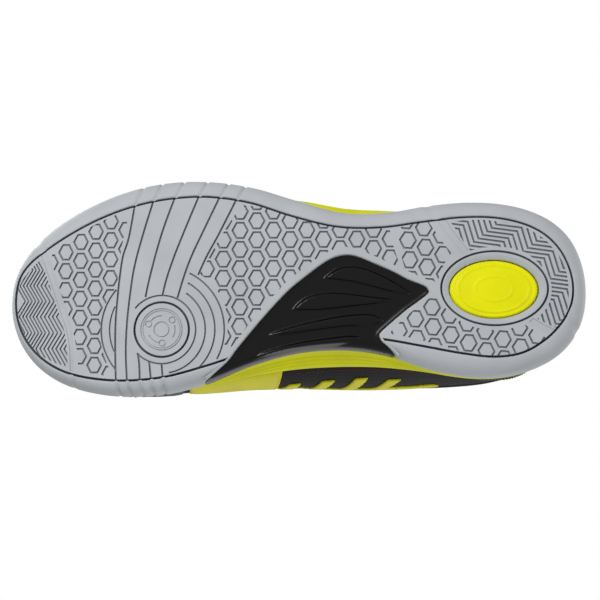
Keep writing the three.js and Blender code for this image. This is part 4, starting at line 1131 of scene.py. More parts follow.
def holes_f(S, r=2.35):
    f = np.full(len(S[0]), 1e3)
    for s in (1, -1):
        for y in EY:
            c = on_top(eyelet_x(y, s), y)
            f = np.minimum(f, np.linalg.norm(S[0] - c, axis=1) - r)
    return f


# ---- main cloth panels
def cut_panel(S, fs):
    for f in fs:
        S = clip(S, f(S))
    return S


skin_cut = [lambda S: throat_f(S, 0), lambda S: collar_f(S, 0), lambda S: holes_f(S)]
ahead = lambda S: SEAM(S[0][:, 2]) - S[0][:, 1]
MED = last_sheet(220, 60)
vamp = cut_panel(MED, [lambda S: throat_f(S, 0), lambda S: holes_f(S), ahead])
shell("vamp_cloth", vamp, 0.0, -1.4, MT["mesh"], 0.1, nodes=("vamp",))
rear = cut_panel(MED, skin_cut + [lambda S: -ahead(S)])
shell("quarter_cloth_lateral", clip(rear, rear[0][:, 0] - 1.4), 0.0, -1.4, MT["mesh"], 0.1, nodes=("quarter_lateral",))
shell("quarter_cloth_medial", clip(rear, 1.4 - rear[0][:, 0]), 0.0, -1.4, MT["mesh"], 0.1, nodes=("quarter_medial",))

# ---- films on the outside
TOE_CAP = [[-220, -40], [-61, -40], [-61, 25.5], [-66, 28.5], [-84, 31.5], [-100, 36], [-112, 41], [-122, 46.5], [-130, 52], [-136, 60], [-220, 60]]
cap = clip(FINE, poly_sd(TOE_CAP, yz(FINE)))
shell("toe_cap_film", cap, 1.25, 0.1, MT["film"], 0.55, nodes=("toe_cap",))


def stay(s):
    pl = ([[-0.55, -62.5], [4, -61.6], [8, -59.5], [12.4, -56], [16.6, -51.5], [20, -46], [22.8, -40], [31.5, 12], [32, 40], [-0.55, 40]] if s > 0
          else [[-1.15, -62.5], [-6, -61.6], [-10, -59.5], [-14.4, -56], [-18.6, -51.5], [-22, -46], [-24.8, -40], [-33.0, 12], [-34, 40], [-1.15, 40]])
    S = cut_panel(FINE, [lambda S: S[0][:, 2] - 40, lambda S: poly_sd(pl, xy(S)), lambda S: throat_f(S, 0), lambda S: holes_f(S, 2.4), lambda S: collar_f(S, 0.5)])
    shell("eyestay_film_" + ("lateral" if s > 0 else "medial"), S, 1.45, 0.1, MT["film"], 0.6, nodes=("eyestay_lateral" if s > 0 else "eyestay_medial",))


stay(1)
stay(-1)
HEEL_OV = [[84, -40], [84, 34], [90, 41], [98, 50], [106, 58], [112, 66], [117, 75], [122, 84], [132, 91], [150, 93], [170, 93], [170, -40]]
hv = clip(FINE, poly_sd(HEEL_OV, yz(FINE)))
shell("heel_film", hv, 1.25, 0.1, MT["film"], 0.55, nodes=("heel_overlay",))
SIDE_OV = [[-58, -40], [-58, 27.5], [-46, 38], [-34, 50], [-22, 60], [-8, 66.5], [10, 70], [32, 71], [54, 68.5], [74, 60], [70, 55], [56, 59.5], [45.5, 60], [53, 42], [46, 42], [38.5, 60],
           [27.5, 60.5], [35.5, 38], [28.5, 38], [20.5, 60], [10, 59], [18, 38], [11, 38], [3, 58.5], [-7, 57], [0, 38], [-6.5, 38], [-14, 56], [-19, 52], [-12.5, 42], [-9.3, 20], [-9.3, -40]]
STAY_CLEAR = {1: [[-0.6, -62], [7, -60], [16, -52], [23.4, -40], [32.1, 12], [32.6, 40], [-0.6, 40]], -1: [[-1.2, -62], [-9, -60], [-18, -52], [-25.4, -40], [-33.6, 12], [-34.6, 40], [-1.2, 40]]}
for s, nm in ((1, "lateral"), (-1, "medial")):
    S = cut_panel(FINE, [lambda S: s * S[0][:, 0] - 4, lambda S: poly_sd(SIDE_OV, yz(S)), lambda S: np.where(S[0][:, 2] > 40, -poly_sd(STAY_CLEAR[s], xy(S)), 5.0)])
    shell("side_film_" + nm, S, 1.2, 0.1, MT["film_y"], 0.5, nodes=("side_overlay_" + nm,))

# ---- linings
lin_v = cut_panel(BASE, [lambda S: throat_f(S, 16), lambda S: SEAM(S[0][:, 2]) + 2 - S[0][:, 1]])
shell("vamp_lining_knit", lin_v, -3.2, -4.2, MT["lining"], 0.1, nodes=("vamp_lining",))
lin_q = cut_panel(BASE, [lambda S: throat_f(S, 10), lambda S: collar_f(S, 3.0), lambda S: S[0][:, 1] - SEAM(S[0][:, 2]) - 2.6])
shell("quarter_lining_knit_lateral", clip(lin_q, lin_q[0][:, 0] - 1.4), -3.2, -4.2, MT["lining"], 0.1, nodes=("quarter_lining_lateral",))
shell("quarter_lining_knit_medial", clip(lin_q, 1.4 - lin_q[0][:, 0]), -3.2, -4.2, MT["lining"], 0.1, nodes=("quarter_lining_medial",))


# ------------------------------------------------------------------ COLLAR
def collar_line():
    n, m = 300, 160
    th = np.linspace(0, math.pi, n + 1)
    p, nn = loop("feather", th)
    for _ in range(12):
        nn = np.roll(nn, 1, 0) + 2 * nn + np.roll(nn, -1, 0)
        nn /= np.linalg.norm(nn, axis=1)[:, None]
    out = []
    for side in (1, -1):
        if side > 0:
            f, q = p[:n + 1], nn[:n + 1].copy()
        else:
            f, q = np.vstack([p[:1], p[n + 1:][::-1], p[n:n + 1]]), np.vstack([nn[:1], nn[n + 1:][::-1], nn[n:n + 1]]).copy()
        q[0], q[-1] = (0, -1), (0, 1)
        t = np.linspace(0, 1, m + 1)
        G = last_points(th, t, side, f, q)
        pts = []
        for i in range(n + 1):
            g = G[i, :, 2] - COLLAR(np.clip(G[i, :, 1], 14, 150))
            j = np.where((g[:-1] < 0) & (g[1:] >= 0))[0]
            if len(j) == 0:
                continue
            j = j[0]
            u = -g[j] / (g[j + 1] - g[j])
            c = G[i, j] * (1 - u) + G[i, j + 1] * u
            if c[1] < 16.5:
                continue
            pts.append(c)
        out.append(np.array(pts))
    line = np.vstack([out[0], out[1][::-1][1:]])
    d = np.concatenate([[0], np.cumsum(np.linalg.norm(np.diff(line, axis=0), axis=1))])
    N = 300
    s = np.linspace(0, d[-1], N)
    line = np.stack([np.interp(s, d, line[:, k]) for k in range(3)], 1)
    for _ in range(5):
        line[1:-1] = (line[:-2] + 2 * line[1:-1] + line[2:]) / 4
    nr = []
    for c in line:
        h = bv.find_nearest(Vector(c))
        nr.append(on_hit(h)[1])
    nr = np.array(nr)
    for _ in range(4):
        nr[1:-1] = nr[:-2] + 2 * nr[1:-1] + nr[2:]
        nr /= np.linalg.norm(nr, axis=1)[:, None]
    t = np.gradient(line, axis=0)
    t /= np.linalg.norm(t, axis=1)[:, None]
    up = np.cross(t, nr)
    up /= np.linalg.norm(up, axis=1)[:, None]
    up[up[:, 2] < 0] *= -1
    return line, nr, up


def build_collar():
    c, n, u = collar_line()
    N = len(c)
    s = np.linspace(0, 1, N)
    w = 2.8 + 5.8 * np.clip(np.sin(math.pi * s) * 1.9, 0, 1) ** 1.2       # foam thickness from the front ends to the ankle
    k = (w - 2.8) / 5.8
    # the padding reaches deep behind the heel and less at the ankle, clear of the lifted insole
    e_ = np.clip((c[:, 1] - 114) / 16, 0, 1)
    kd = k * (0.58 + 0.42 * e_ * e_ * (3 - 2 * e_))
    prof = [(0.10, -5.6, 0), (0.55, -4.8, 0), (0.80, -3.6, 0), (0.62, -2.6, 0), (0.80, -1.6, 0), (0.75, -0.3, 0), (0.35, 0.9, 0), (-0.35, 1.9, 0),
            (-0.18, 2.6, 1), (-0.36, 3.0, 1), (-0.54, 3.05, 1), (-0.72, 2.7, 1), (-0.88, 1.9, 1), (-1.02, 0.7, 1), (-1.12, -1.2, 1), (-1.18, -3.6, 1),
            (-1.20, -6.4, 1), (-1.16, -9.4, 1), (-1.10, -12.6, 1), (-1.04, -15.6, 1), (-1.06, -18.6, 1), (-1.02, -21.8, 1), (-0.92, -24.8, 1), (-0.76, -27.6, 1), (-0.55, -30.0, 1), (-0.40, -31.2, 1)]
    V = np.zeros((N, len(prof), 3))
    for j, (a, b, rel) in enumerate(prof):
        off = a if rel == 0 else a * w
        depth = b if b > -6 else -6 + (b + 6) * (0.25 + 0.75 * kd)
        V[:, j] = c + n * (off if np.ndim(off) else float(off)) [..., None] if np.ndim(off) else c + n * float(off)
        V[:, j] += u * (np.asarray(depth) * np.ones(N))[:, None]
    # soft quilting: shallow pleats across the padding
    q = 0.16 * np.sin(s * math.pi * 46)
    for j in range(9, len(prof) - 2):
        V[:, j] += n * (q * k * math.sin(math.pi * (j - 8) / (len(prof) - 10)))[:, None]
    f = grid_faces(N, len(prof))
    m = len(prof)
    o = obj("collar_padding", V.reshape(-1, 3), f, MT["collar"], fix=True)
    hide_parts("collar_foam", "collar_lining")
    # end folds
    for e, nm in ((0, "lateral"), (N - 1, "medial")):
        ring = V[e]
        cc = ring.mean(0)
        vv = [cc] + list(ring)
        obj("collar_end_" + nm, vv, [(0, i + 1, i + 2) for i in range(m - 1)], MT["collar"], fix=False)
    return c, n, u


col_c, col_n, col_u = build_collar()


# ------------------------------------------------------------------ TONGUE
def build_tongue():
    hw = curve([[-56, 15], [-48, 19], [-36, 22.5], [-10, 25.5], [14, 26.5], [26, 25.5], [36, 24.0], [44, 21.5]])
    y0, y1, n, m = -54.0, 43.0, 110, 64
    V = np.zeros((n, m, 3))
    ph = np.linspace(0, 2 * math.pi, m, endpoint=False)
    for i in range(n):
        v = i / (n - 1)
        y = y0 + (y1 - y0) * v
        # rounded plan corners at the free end and pinched thickness at both ends
        endr = max(0.0, (y - (y1 - 9)) / 9)
        w = float(hw(y)) * math.sqrt(max(0.0, 1 - (endr * 0.80) ** 2.6))
        th_ = 2.4 + 1.3 * max(0, min(1, (y - 8) / 20))
        th_ *= math.sqrt(max(0.02, 1 - max(0, (y - (y1 - 3.2)) / 3.2) ** 2)) if y > y1 - 3.2 else 1
        th_ *= math.sqrt(max(0.05, 1 - max(0, ((y0 + 3) - y) / 3) ** 2)) if y < y0 + 3 else 1
        for j, a in enumerate(ph):
            ca, sa = math.cos(a), math.sin(a)
            s = math.copysign(abs(ca) ** 0.72, ca)
            tt = math.copysign(abs(sa) ** 0.75, sa)
            x = s * w - 0.7
            # the tongue follows the instep but flattens a little across its free end
            p, nr = top_n(max(-33, min(33, x)), y)
            off = -7.5 + th_ * tt
            # quilted mesh: lengthwise channels
            if tt > 0.3:
                off += 0.35 * math.cos(x * math.pi / 7.0) * (1 - abs(s)) ** 0.4
            if y > 20:
                off -= 0.6 * math.exp(-((y - (y1 - 8.5)) / 1.2) ** 2) * (1 if tt > 0 else -1)
            V[i, j] = p + nr * off
    f = grid_faces(n, m, wrap_m=True)
    caps = [tuple(range(m)), tuple((n - 1) * m + j for j in range(m - 1, -1, -1))]
    o = obj("tongue_padded", V.reshape(-1, 3), f + caps, MT["mesh"], body=None, fix=True)
    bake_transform(o)
    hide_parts("tongue", "tongue_top")
    return V


tongue_V = build_tongue()


# ------------------------------------------------------------------ EYELETS
def basis(n):
    n = n / np.linalg.norm(n)
    a = np.cross(n, [0, 1, 0])
    a /= np.linalg.norm(a)
    return a, np.cross(n, a), n


for s, nm in ((1, "lateral"), (-1, "medial")):
    for i, y in enumerate(EY):
        p, n = top_n(eyelet_x(y, s), y)
        a, b, c = basis(n)
        prof = [(2.2, -1.2), (2.15, 0.4), (2.2, 1.6), (2.4, 2.2), (2.8, 2.5), (3.2, 2.45), (3.6, 2.2), (3.8, 1.8), (3.8, 1.45), (2.6, 1.35), (2.55, -1.2)]
        V = []
        for k in range(28):
            t = 2 * math.pi * k / 28
            for r, z in prof:
                V.append(p + (a * math.cos(t) + b * math.sin(t)) * r + c * z)
        o = obj(f"eyelet_ring_{nm}_{i + 1}", V, grid_faces(28, len(prof), wrap_n=True, wrap_m=True), MT["eyelet"], fix=True)
        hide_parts(f"eyelet_{nm}_{i + 1}")


# ------------------------------------------------------------------ LACING
def resample(pts, step):
    p = np.array(pts, float)
    dense = smooth_line3(p, 14)
    d = np.concatenate([[0], np.cumsum(np.linalg.norm(np.diff(dense, axis=0), axis=1))])
    n = max(4, int(d[-1] / step))
    s = np.linspace(0, d[-1], n)
    return np.stack([np.interp(s, d, dense[:, k]) for k in range(3)], 1)


def smooth_line3(p, n):
    out = []
    for i in range(len(p) - 1):
        p0, p1, p2, p3 = p[max(0, i - 1)], p[i], p[i + 1], p[min(len(p) - 1, i + 2)]
        # centripetal-like tension keeps sharp bends tight
        m1, m2 = (p2 - p0) * 0.36, (p3 - p1) * 0.36
        l = np.linalg.norm(p2 - p1)
        m1 = m1 / max(1e-6, np.linalg.norm(m1)) * min(np.linalg.norm(m1), l * 1.1)
        m2 = m2 / max(1e-6, np.linalg.norm(m2)) * min(np.linalg.norm(m2), l * 1.1)
        for k in range(n):
            t = k / n
            out.append((2 * t ** 3 - 3 * t * t + 1) * p1 + (t ** 3 - 2 * t * t + t) * m1 + (-2 * t ** 3 + 3 * t * t) * p2 + (t ** 3 - t * t) * m2)
    out.append(p[-1])
    return np.array(out)


def tape(name, pts, width_dir, w=5.4, h=1.5, material="lace", body="shoe", step=0.8, closed=False, taper=None, at=None):
    """Flat woven tape along points; width_dir(p) gives the direction its width lies in."""
    c = resample(pts, step)
    if closed:
        c = c[:-1]
    n = len(c)
    t = (np.roll(c, -1, 0) - np.roll(c, 1, 0)) if closed else np.gradient(c, axis=0)
    t /= np.linalg.norm(t, axis=1)[:, None]
    W = np.array([width_dir(q, i / n) for i, q in enumerate(c)])
    W = W - (W * t).sum(1)[:, None] * t
    W /= np.linalg.norm(W, axis=1)[:, None]
    for _ in range(8):
        if closed:
            W = np.roll(W, 1, 0) + W * 2 + np.roll(W, -1, 0)
        else:
            W[1:-1] = W[:-2] + 2 * W[1:-1] + W[2:]
        W = W - (W * t).sum(1)[:, None] * t
        W /= np.linalg.norm(W, axis=1)[:, None]
    H = np.cross(t, W)
    sec = [(-0.5, 0), (-0.47, 0.34), (-0.36, 0.48), (-0.18, 0.5), (0, 0.46), (0.18, 0.5), (0.36, 0.48), (0.47, 0.34),
           (0.5, 0), (0.47, -0.34), (0.36, -0.48), (0.18, -0.5), (0, -0.46), (-0.18, -0.5), (-0.36, -0.48), (-0.47, -0.34)]
    V = np.zeros((n, len(sec), 3))
    d = np.concatenate([[0], np.cumsum(np.linalg.norm(np.diff(c, axis=0), axis=1))])
    for i in range(n):
        ww = w * (taper(i / (n - 1)) if taper else 1) * (at(c[i]) if at else 1)
        rib = 1 + 0.05 * math.sin(d[i] * 2 * math.pi / 1.7)        # weave ribs
        for j, (a, b) in enumerate(sec):
            V[i, j] = c[i] + W[i] * a * ww + H[i] * b * h * rib * (1.0 if ww > 4.5 else 1.35)
    f = grid_faces(n, len(sec), wrap_n=closed, wrap_m=True)
    m = len(sec)
    if not closed:
        f += [tuple(range(m)), tuple((n - 1) * m + j for j in range(m - 1, -1, -1))]
    return obj(name, V.reshape(-1, 3), f, MT[material], body=body, fix=True), c, t, W


UNDER, OVER = -3.1, 3.5
KN, KNn = top_n(-0.6, 12.6)
KNOT = KN + KNn * 4.4


def hole(s, i, off):
    y = EY[i]
    p, n = top_n(eyelet_x(y, s), y)
    return p + n * off


def strand(s):
    pts, side = [], s
    for i, y in enumerate(EY):
        pts += [hole(side, i, UNDER + 0.3), hole(side, i, 0.4), hole(side, i, OVER - 0.5)]
        if i == len(EY) - 1:
            break
        y2 = EY[i + 1]
        x1, x2 = eyelet_x(y, side), eyelet_x(y2, -side)
        at = lambda f, off: on_top(x1 + (x2 - x1) * f, y + (y2 - y) * f, off)
        mid = -0.6 if s > 0 else -2.5
        pts += [at(0.06, OVER), at(0.15, OVER - 0.9), at(0.27, (OVER + mid) / 2 - 0.6), at(0.5, mid), at(0.74, UNDER), at(0.9, UNDER)]
        side = -side
    return pts, side


def along(p, _=0):
    """Up the throat, tangent to the instep."""
    e = 1.0
    a = on_top(p[0], p[1] + e)
    b = on_top(p[0], p[1] - e)
    d = a - b
    return d / np.linalg.norm(d)


sA, eA = strand(1)
sB, eB = strand(-1)


def lead(side):
    return [on_top(side * 20.5, 11.0, 3.3), on_top(side * 15, 12.0, 2.6), on_top(side * 9, 12.6, 3.0), on_top(side * 4.0 - 0.6, 12.6, 3.9)]


bar = [on_top(eyelet_x(EY[0], 1) + (eyelet_x(EY[0], -1) - eyelet_x(EY[0], 1)) * f, EY[0], UNDER) for f in (0.12, 0.3, 0.5, 0.7, 0.88)]
path = lead(eA)[::-1] + sA[::-1] + bar + sB + lead(eB)
HOLES = np.array([hole(s, i, 0.6) for s in (1, -1) for i in range(6)])


def squeeze(p):
    d = np.linalg.norm(HOLES - p, axis=1).min()
    return 1 - 0.30 * math.exp(-(d / 3.2) ** 2)


lace_o, _, _, _ = tape("lace_tape", path, along, w=5.2, h=1.35, step=0.9, at=squeeze)
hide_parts("lace")

# knot: crossed turns of tape round a small core
a_, b_, c_ = basis(KNn)
yd = along(KN)
xd = np.cross(yd, KNn)
xd /= np.linalg.norm(xd)


def ring_pts(rx, rz, tilt, shift, n=16):
    out = []
    for k in range(n + 1):
        t = 2 * math.pi * k / n
        out.append(KNOT + (xd * math.cos(tilt) + yd * math.sin(tilt)) * (rx * math.cos(t)) + KNn * (rz * math.sin(t)) + yd * shift)
    return out


k1, _, _, _ = tape("lace_knot_turn", ring_pts(4.1, 3.1, 0.15, 0.0), lambda p, s: yd, w=6.4, h=1.4, step=0.5, closed=True)
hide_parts("lace_knot")
tape("lace_knot_under", [KNOT - xd * 5.2 - yd * 1.6 - KNn * 1.2, KNOT - xd * 2 - KNn * 0.6 - yd * 0.4, KNOT + xd * 2 - KNn * 0.4 + yd * 0.4, KNOT + xd * 5.2 + yd * 1.8 - KNn * 1.0], lambda p, s: yd, w=5.4, h=2.4, step=0.5)
tape("lace_knot_core", [KNOT - xd * 3.4 + KNn * 0.6, KNOT + KNn * 1.0, KNOT + xd * 3.4 + KNn * 0.6], lambda p, s: yd, w=5.0, h=2.8, step=0.5)


def lp(s, x, y, off):
    return on_top(s * x - 0.6, y, off)


for s, nm in ((1, "lateral"), (-1, "medial")):
    pts = [KNOT + xd * s * 2.0 + KNn * 1.0, lp(s, 6, 11.0, 7.4), lp(s, 12, 12.0, 8.6), lp(s, 18.5, 13.8, 7.8), lp(s, 24, 15.0, 6.6), lp(s, 27.2, 13.8, 6.0),
           lp(s, 28.2, 9.4, 5.8), lp(s, 27, 4.8, 6.0), lp(s, 22, 2.8, 6.8), lp(s, 15, 4.6, 7.6), lp(s, 9, 7.6, 7.8), KNOT + xd * s * 2.6 - yd * 1.6 + KNn * 0.6]

    def wd(p, f, s=s):
        # tape stands partly on edge round the loop
        n = top_n(p[0], p[1])[1]
        return n * 0.85 + along(p) * 0.55 * (1 if f < 0.5 else -1)
    o, _, _, _ = tape("bow_tape_" + nm, pts, wd, w=5.0, h=1.25, body="bow_" + nm, step=0.7)
    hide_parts("bow_loop_" + nm)
    e = [KNOT + xd * s * 2.4 - yd * 2.0, lp(s, 5.4, 5.2, 6.2), lp(s, 8.8, 0.4, 7.0), lp(s, 13, -7, 7.2), lp(s, 17, -16, 7.7), lp(s, 20, -26, 8.3)]
    o, c, t, W = tape("lace_end_tape_" + nm, e, lambda p, f, s=s: np.cross(top_n(p[0], p[1])[1], np.array([s * 0.45, -0.9, 0])), w=5.0, h=1.35, body="end_" + nm, step=0.7,
                      taper=lambda f: 1.0 if f < 0.86 else 1 - (f - 0.86) / 0.14 * 0.52)
    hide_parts("lace_end_" + nm)
    # aglet: crimped sleeve with a flattened tip
    d = t[-1]
    u1 = W[-1] - d * (W[-1] @ d)
    u1 /= np.linalg.norm(u1)
    u2 = np.cross(d, u1)
    V = []
    zs = [(-1.2, 1.0), (-1.1, 1.28), (-0.6, 1.34), (0.4, 1.34), (0.8, 1.22), (1.3, 1.22), (1.8, 1.34), (13.2, 1.30), (14.6, 1.22), (15.6, 0.95), (16.0, 0.4)]
    for z, r in zs:
        for k in range(18):
            a = 2 * math.pi * k / 18
            V.append(c[-1] + d * z + (u1 * math.cos(a) * 1.12 + u2 * math.sin(a) * 0.95) * r)
    o = obj("aglet_sleeve_" + nm, V, grid_faces(len(zs), 18, wrap_m=True) + [tuple(range(18)), tuple((len(zs) - 1) * 18 + k for k in range(17, -1, -1))], MT["aglet"], body="end_" + nm, fix=True)
    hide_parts("aglet_" + nm)


# ------------------------------------------------------------------ INSOLE
def build_insole():
    n, m = 180, 41
    th = np.linspace(0, math.pi, n)
    p, nn = loop("feather", th)
    for _ in range(8):
        nn = np.roll(nn, 1, 0) + 2 * nn + np.roll(nn, -1, 0)
        nn /= np.linalg.norm(nn, axis=1)[:, None]

    def sides(d):
        q = p - nn * d
        return q[:n], np.vstack([q[:1], q[n:][::-1], q[n - 1:n]])
    lat, med = sides(7.0)
    V = []
    for i in range(n):
        for j in range(m):
            s = j / (m - 1)
            q = med[i] * (1 - s) + lat[i] * s
            e = min(s, 1 - s) * 2
            ends = min(i, n - 1 - i) / (n * 0.06)
            edge = min(1.0, e * 3.2, ends)
            hw = np.linalg.norm(lat[i] - med[i]) / 2
            z = feather_z(q[1]) + 7.25
            cup = (1 - min(1, e * 1.4)) ** 2
            back = max(0.0, min(1.0, (q[1] - 20) / 80))
            z += cup * (0.7 + 1.5 * back)
            z += 2.6 * math.exp(-((q[1] - 10) / 34) ** 2) * max(0, 1 - s * 2.3) ** 1.3          # arch support on the medial side
            z -= 0.9 * math.exp(-((q[1] - 100) / 26) ** 2) * e
            z -= 0.8 * (1 - edge) ** 3
            V.append((q[0], q[1], z))
    V = np.array(V)
    f = grid_faces(n, m)
    o = obj("insole_cloth_top", V, f, MT["insole"], body="insole", fix=True)
    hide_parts("insole_cloth")
    # foam body: side wall and underside
    rows = []
    G = V.reshape(n, m, 3)
    ring = np.vstack([G[:, -1], G[1:-1, 0][::-1]])
    nr = np.vstack([nn[:n], nn[n:]])
    nr = nr[:len(ring)]
    cen = np.array([0, 0])
    R = []
    for k, (o1, dz) in enumerate([(0.0, 0.02), (0.25, -0.5), (0.35, -1.6), (0.25, -3.2), (-0.2, -5.0), (-1.0, -5.6), (-4, -5.7)]):
        q = ring.copy()
        q[:, :2] += nr * o1
        base = feather_z(ring[:, 1]) + 7.25
        q[:, 2] = ring[:, 2] + 0.02 if k == 0 else base + dz + 0.1
        R.append(q)
    R = np.stack(R, 1)
    o = obj("insole_foam_body", R.reshape(-1, 3), grid_faces(len(ring), R.shape[1], wrap_n=True), MT["insole_foam"], body="insole", fix=True)
    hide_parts("insole_foam")


build_insole()


# ------------------------------------------------------------------ STITCHING
def stitches(name, P3, N3, mat_name, pitch=3.1, length=2.1, r=0.34, body="shoe", lift=0.06):
    P3, N3 = np.asarray(P3, float), np.asarray(N3, float)
    d = np.concatenate([[0], np.cumsum(np.linalg.norm(np.diff(P3, axis=0), axis=1))])
    V, F = [], []
    k = 0
    x = pitch * 0.5
    while x + length < d[-1]:
        q = [np.array([np.interp(x + length * f, d, P3[:, c]) for c in range(3)]) for f in (0, 0.5, 1)]
        n = np.array([np.interp(x + length / 2, d, N3[:, c]) for c in range(3)])
        n /= np.linalg.norm(n)
        t = (q[2] - q[0]) / max(1e-9, np.linalg.norm(q[2] - q[0]))
        b = np.cross(t, n)
        s0 = len(V)
        for f, rr, up in ((0.0, 0.45, -0.16), (0.14, 0.85, -0.02), (0.5, 1.0, 0.06), (0.86, 0.85, -0.02), (1.0, 0.45, -0.16)):
            c = q[0] + (q[2] - q[0]) * f + n * (lift + up)
            for a in range(6):
                an = a * math.pi / 3
                V.append(c + (b * math.cos(an) + n * math.sin(an) * 0.8) * r * rr)
        for i in range(4):
            for a in range(6):
                F.append((s0 + i * 6 + a, s0 + i * 6 + (a + 1) % 6, s0 + (i + 1) * 6 + (a + 1) % 6, s0 + (i + 1) * 6 + a))
        F.append(tuple(s0 + a for a in range(5, -1, -1)))
        F.append(tuple(s0 + 24 + a for a in range(6)))
        x += pitch
    return obj(name, V, F, MT[mat_name], body=body, fix=False)


def side_line(s, pts, off, n=14):
    L = smooth_line(pts, n)
    P3, N3 = [], []
    for y, z in L:
        p, nr = side_pt(s, y, z)
        P3.append(p + nr * off)
        N3.append(nr)
    return P3, N3


def plan_line(pts, off, n=10):
    L = smooth_line(pts, n)
    P3, N3 = [], []
    for x, y in L:
        p, nr = top_n(x, y)
        P3.append(p + nr * off)
        N3.append(nr)
    return P3, N3


for s, nm in ((1, "lateral"), (-1, "medial")):
    # red line low on the quarter
    ys = np.linspace(-4, 80, 30)
    stitches("stitch_red_" + nm, *side_line(s, [(y, float(feather_z(y)) + 6.5 - 1.5 * math.cos((y - 38) / 50)) for y in ys], 0.0, 3), "thread_r", pitch=2.6, length=1.9, r=0.3)
    # yellow film edges
    stitches("stitch_patch_" + nm, *side_line(s, [(-14.6, 45), (-12.8, 36), (-11.6, 28), (-11.2, 24)], 1.25), "thread_y", pitch=2.6, length=1.8, r=0.28)
    stitches("stitch_cap_" + nm, *side_line(s, [(-64, 23.4), (-72, 26.0), (-84, 28.2), (-100, 32.6), (-112, 37.2), (-120, 41.4)][0 if s > 0 else 2:], 1.3), "thread", pitch=3, length=2.1, r=0.3)
    stitches("stitch_heel_" + nm, *side_line(s, [(86.5, 33.5), (100, 48.5), (108, 57.5), (114, 66), (119.5, 76), (124, 83)], 1.3), "thread", pitch=3, length=2.1, r=0.3)
    stitches("stitch_heel_in_" + nm, *side_line(s, [(89.5, 32.5), (102.6, 47), (110.6, 56.4), (116.8, 65.5), (122.2, 75.5), (126.5, 81.5)], 1.3), "thread", pitch=3, length=2.1, r=0.3)
    # eyestay: outer edge and throat edge
    o = [(3, -59.4), (9, -56.4), (14.2, -51.6), (17.8, -46), (20.8, -39), (25, -16), (29.4, 11), (29.8, 14.5)] if s > 0 else [(-5, -59.4), (-11, -56.4), (-16.2, -51.6), (-19.8, -46), (-22.8, -39), (-26.8, -16), (-31, 11), (-31.4, 14.5)]
    stitches("stitch_stay_" + nm, *plan_line(o, 1.45), "thread_y", pitch=3, length=2.1, r=0.3)
    i_ = [(1.6, -48.6), (7.6, -46.2), (11.4, -41.5), (13.2, -36), (16.2, -14), (20.0, 12.5)] if s > 0 else [(-4.6, -48.6), (-10.4, -46.2), (-13.9, -41.5), (-15.2, -36), (-17.6, -14), (-20.6, 12.5)]
    stitches("stitch_throat_" + nm, *plan_line(i_, 1.45), "thread", pitch=3, length=2.1, r=0.3)
# topline stitch round the collar
stitches("stitch_collar", col_c + col_n * 0.5 - col_u * 2.7, col_n, "thread", pitch=3.2, length=2.2, r=0.25)

# seam between vamp and quarters
for s, nm in ((1, "lateral"), (-1, "medial")):
    pts = [(float(SEAM(z)) + 1.6, z) for z in np.linspace(62 if s > 0 else 62, 84, 12)]
    stitches("stitch_seam_" + nm, *side_line(s, pts, 0.0, 3), "thread", pitch=2.8, length=2.0, r=0.3)


# ------------------------------------------------------------------ carried-over inner pieces
INNER = {"strobel_board": "board", "toe_puff": "board", "heel_counter": "board"}
for nn_, mm in INNER.items():
    o = frame["nodes"][nn_]
    o.data.materials.clear()
    o.data.materials.append(MT[mm])



# ------------------------------------------------------------------ STAGE
def emission_world(strength, col=(1, 1, 1)):
    w = bpy.data.worlds.new("studio")
    bpy.context.scene.world = w
    w.use_nodes = True
    nt = w.node_tree
    bg = nt.nodes.get("Background")
    bg.inputs[0].default_value = (*col, 1)
    bg.inputs[1].default_value = strength
    # the backdrop itself stays clean white for the camera
    b2 = nt.nodes.new("ShaderNodeBackground")
    b2.inputs[0].default_value = (1, 1, 1, 1)
    b2.inputs[1].default_value = 1.0
    lp = nt.nodes.new("ShaderNodeLightPath")
    mx = nt.nodes.new("ShaderNodeMixShader")
    nt.links.new(lp.outputs["Is Camera Ray"], mx.inputs[0])
    nt.links.new(bg.outputs[0], mx.inputs[1])
    nt.links.new(b2.outputs[0], mx.inputs[2])
    nt.links.new(mx.outputs[0], nt.nodes["World Output"].inputs[0])


emission_world(0.45)


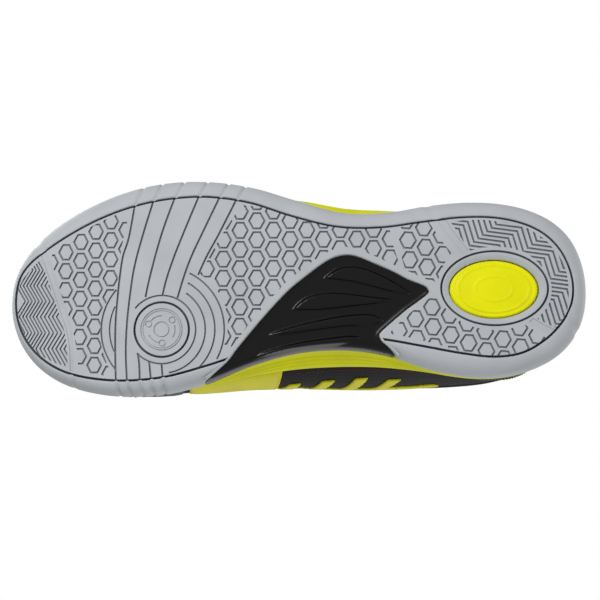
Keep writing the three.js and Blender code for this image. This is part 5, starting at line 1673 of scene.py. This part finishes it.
def floor():
    me = bpy.data.meshes.new("floor")
    s = 3.0
    me.from_pydata([(-s, -s, -0.0004), (s, -s, -0.0004), (s, s, -0.0004), (-s, s, -0.0004)], [], [(0, 1, 2, 3)])
    o = bpy.data.objects.new("floor", me)
    bpy.context.scene.collection.objects.link(o)
    m = bpy.data.materials.new("floor_pale")
    m.use_nodes = True
    nt = m.node_tree
    bs = nt.nodes["Principled BSDF"]
    bs.inputs["Base Color"].default_value = (0.86, 0.86, 0.86, 1)
    bs.inputs["Roughness"].default_value = 0.9
    tr = nt.nodes.new("ShaderNodeBsdfTransparent")
    mx = nt.nodes.new("ShaderNodeMixShader")
    # the floor is clear whenever the camera is under it, so the sole can be seen and lit from below
    vt = nt.nodes.new("ShaderNodeVectorTransform")
    vt.vector_type = "POINT"
    vt.convert_from = "CAMERA"
    vt.convert_to = "WORLD"
    vt.inputs[0].default_value = (0, 0, 0)
    sx = nt.nodes.new("ShaderNodeSeparateXYZ")
    lt = nt.nodes.new("ShaderNodeMath")
    lt.operation = "LESS_THAN"
    lt.inputs[1].default_value = 0.0
    nt.links.new(vt.outputs[0], sx.inputs[0])
    nt.links.new(sx.outputs["Z"], lt.inputs[0])
    nt.links.new(lt.outputs[0], mx.inputs[0])
    nt.links.new(bs.outputs[0], mx.inputs[1])
    nt.links.new(tr.outputs[0], mx.inputs[2])
    # far from the shoe the floor fades into the white backdrop
    tc = nt.nodes.new("ShaderNodeTexCoord")
    ln = nt.nodes.new("ShaderNodeVectorMath")
    ln.operation = "LENGTH"
    mr = nt.nodes.new("ShaderNodeMapRange")
    mr.interpolation_type = "SMOOTHSTEP"
    mr.inputs["From Min"].default_value = 0.28
    mr.inputs["From Max"].default_value = 1.05
    em = nt.nodes.new("ShaderNodeEmission")
    em.inputs["Color"].default_value = (1, 1, 1, 1)
    em.inputs["Strength"].default_value = 1.0
    m2 = nt.nodes.new("ShaderNodeMixShader")
    nt.links.new(tc.outputs["Object"], ln.inputs[0])
    nt.links.new(ln.outputs["Value"], mr.inputs["Value"])
    nt.links.new(mr.outputs[0], m2.inputs[0])
    nt.links.new(bs.outputs[0], m2.inputs[1])
    nt.links.new(em.outputs[0], m2.inputs[2])
    nt.links.new(m2.outputs[0], mx.inputs[1])
    nt.links.new(mx.outputs[0], nt.nodes["Material Output"].inputs[0])
    me.materials.append(m)


floor()


def area(name, loc, target, size, power, col=(1, 1, 1)):
    li = bpy.data.lights.new(name, "AREA")
    li.shape = "RECTANGLE"
    li.size, li.size_y = size
    li.energy = power
    li.color = col
    o = bpy.data.objects.new(name, li)
    bpy.context.scene.collection.objects.link(o)
    o.location = loc
    d = Vector(target) - Vector(loc)
    o.rotation_euler = d.to_track_quat("-Z", "Y").to_euler()


# lights over the floor, for views from above and the sides
area("key_above", (0.7, -0.9, 1.2), (0, 0, 0.04), (0.9, 0.9), 11)
area("fill_above", (-1.1, 0.3, 0.9), (0, 0, 0.04), (1.0, 1.0), 5.5)
area("rim_above", (0.3, 1.2, 0.9), (0, 0, 0.05), (0.8, 0.8), 5.5)
# lights under the floor sheet (which is clear from below), for the view of the sole
area("key_below", (0.55, -0.62, -1.12), (0, 0, 0.0), (0.7, 0.7), 10.8)
area("strip_below", (-0.35, 1.15, -0.85), (0, 0, 0.0), (1.0, 0.4), 3)

cam = bpy.data.cameras.new("camera")
co = bpy.data.objects.new("camera", cam)
bpy.context.scene.collection.objects.link(co)
t = TILT
back = Vector((-math.sin(t), 0.0, -math.cos(t)))
up = Vector((math.cos(t), 0.0, -math.sin(t)))
right = Vector((0.0, 1.0, 0.0))
# the picture's centre on the ground plane, in the part's frame
cx, cy = P(300, 300)
tgt = Vector(to_m([(cx, cy, 0)])[0])
D = 1.45
co.location = tgt + back * D
from mathutils import Matrix
Rm = Matrix((right, up, back)).transposed()
co.rotation_euler = Rm.to_euler()
cam.sensor_width = 36.0
cam.lens = 36.0 * D / (600 * K / 1000.0)
bpy.context.scene.camera = co
bpy.context.scene.view_settings.view_transform = "Standard"

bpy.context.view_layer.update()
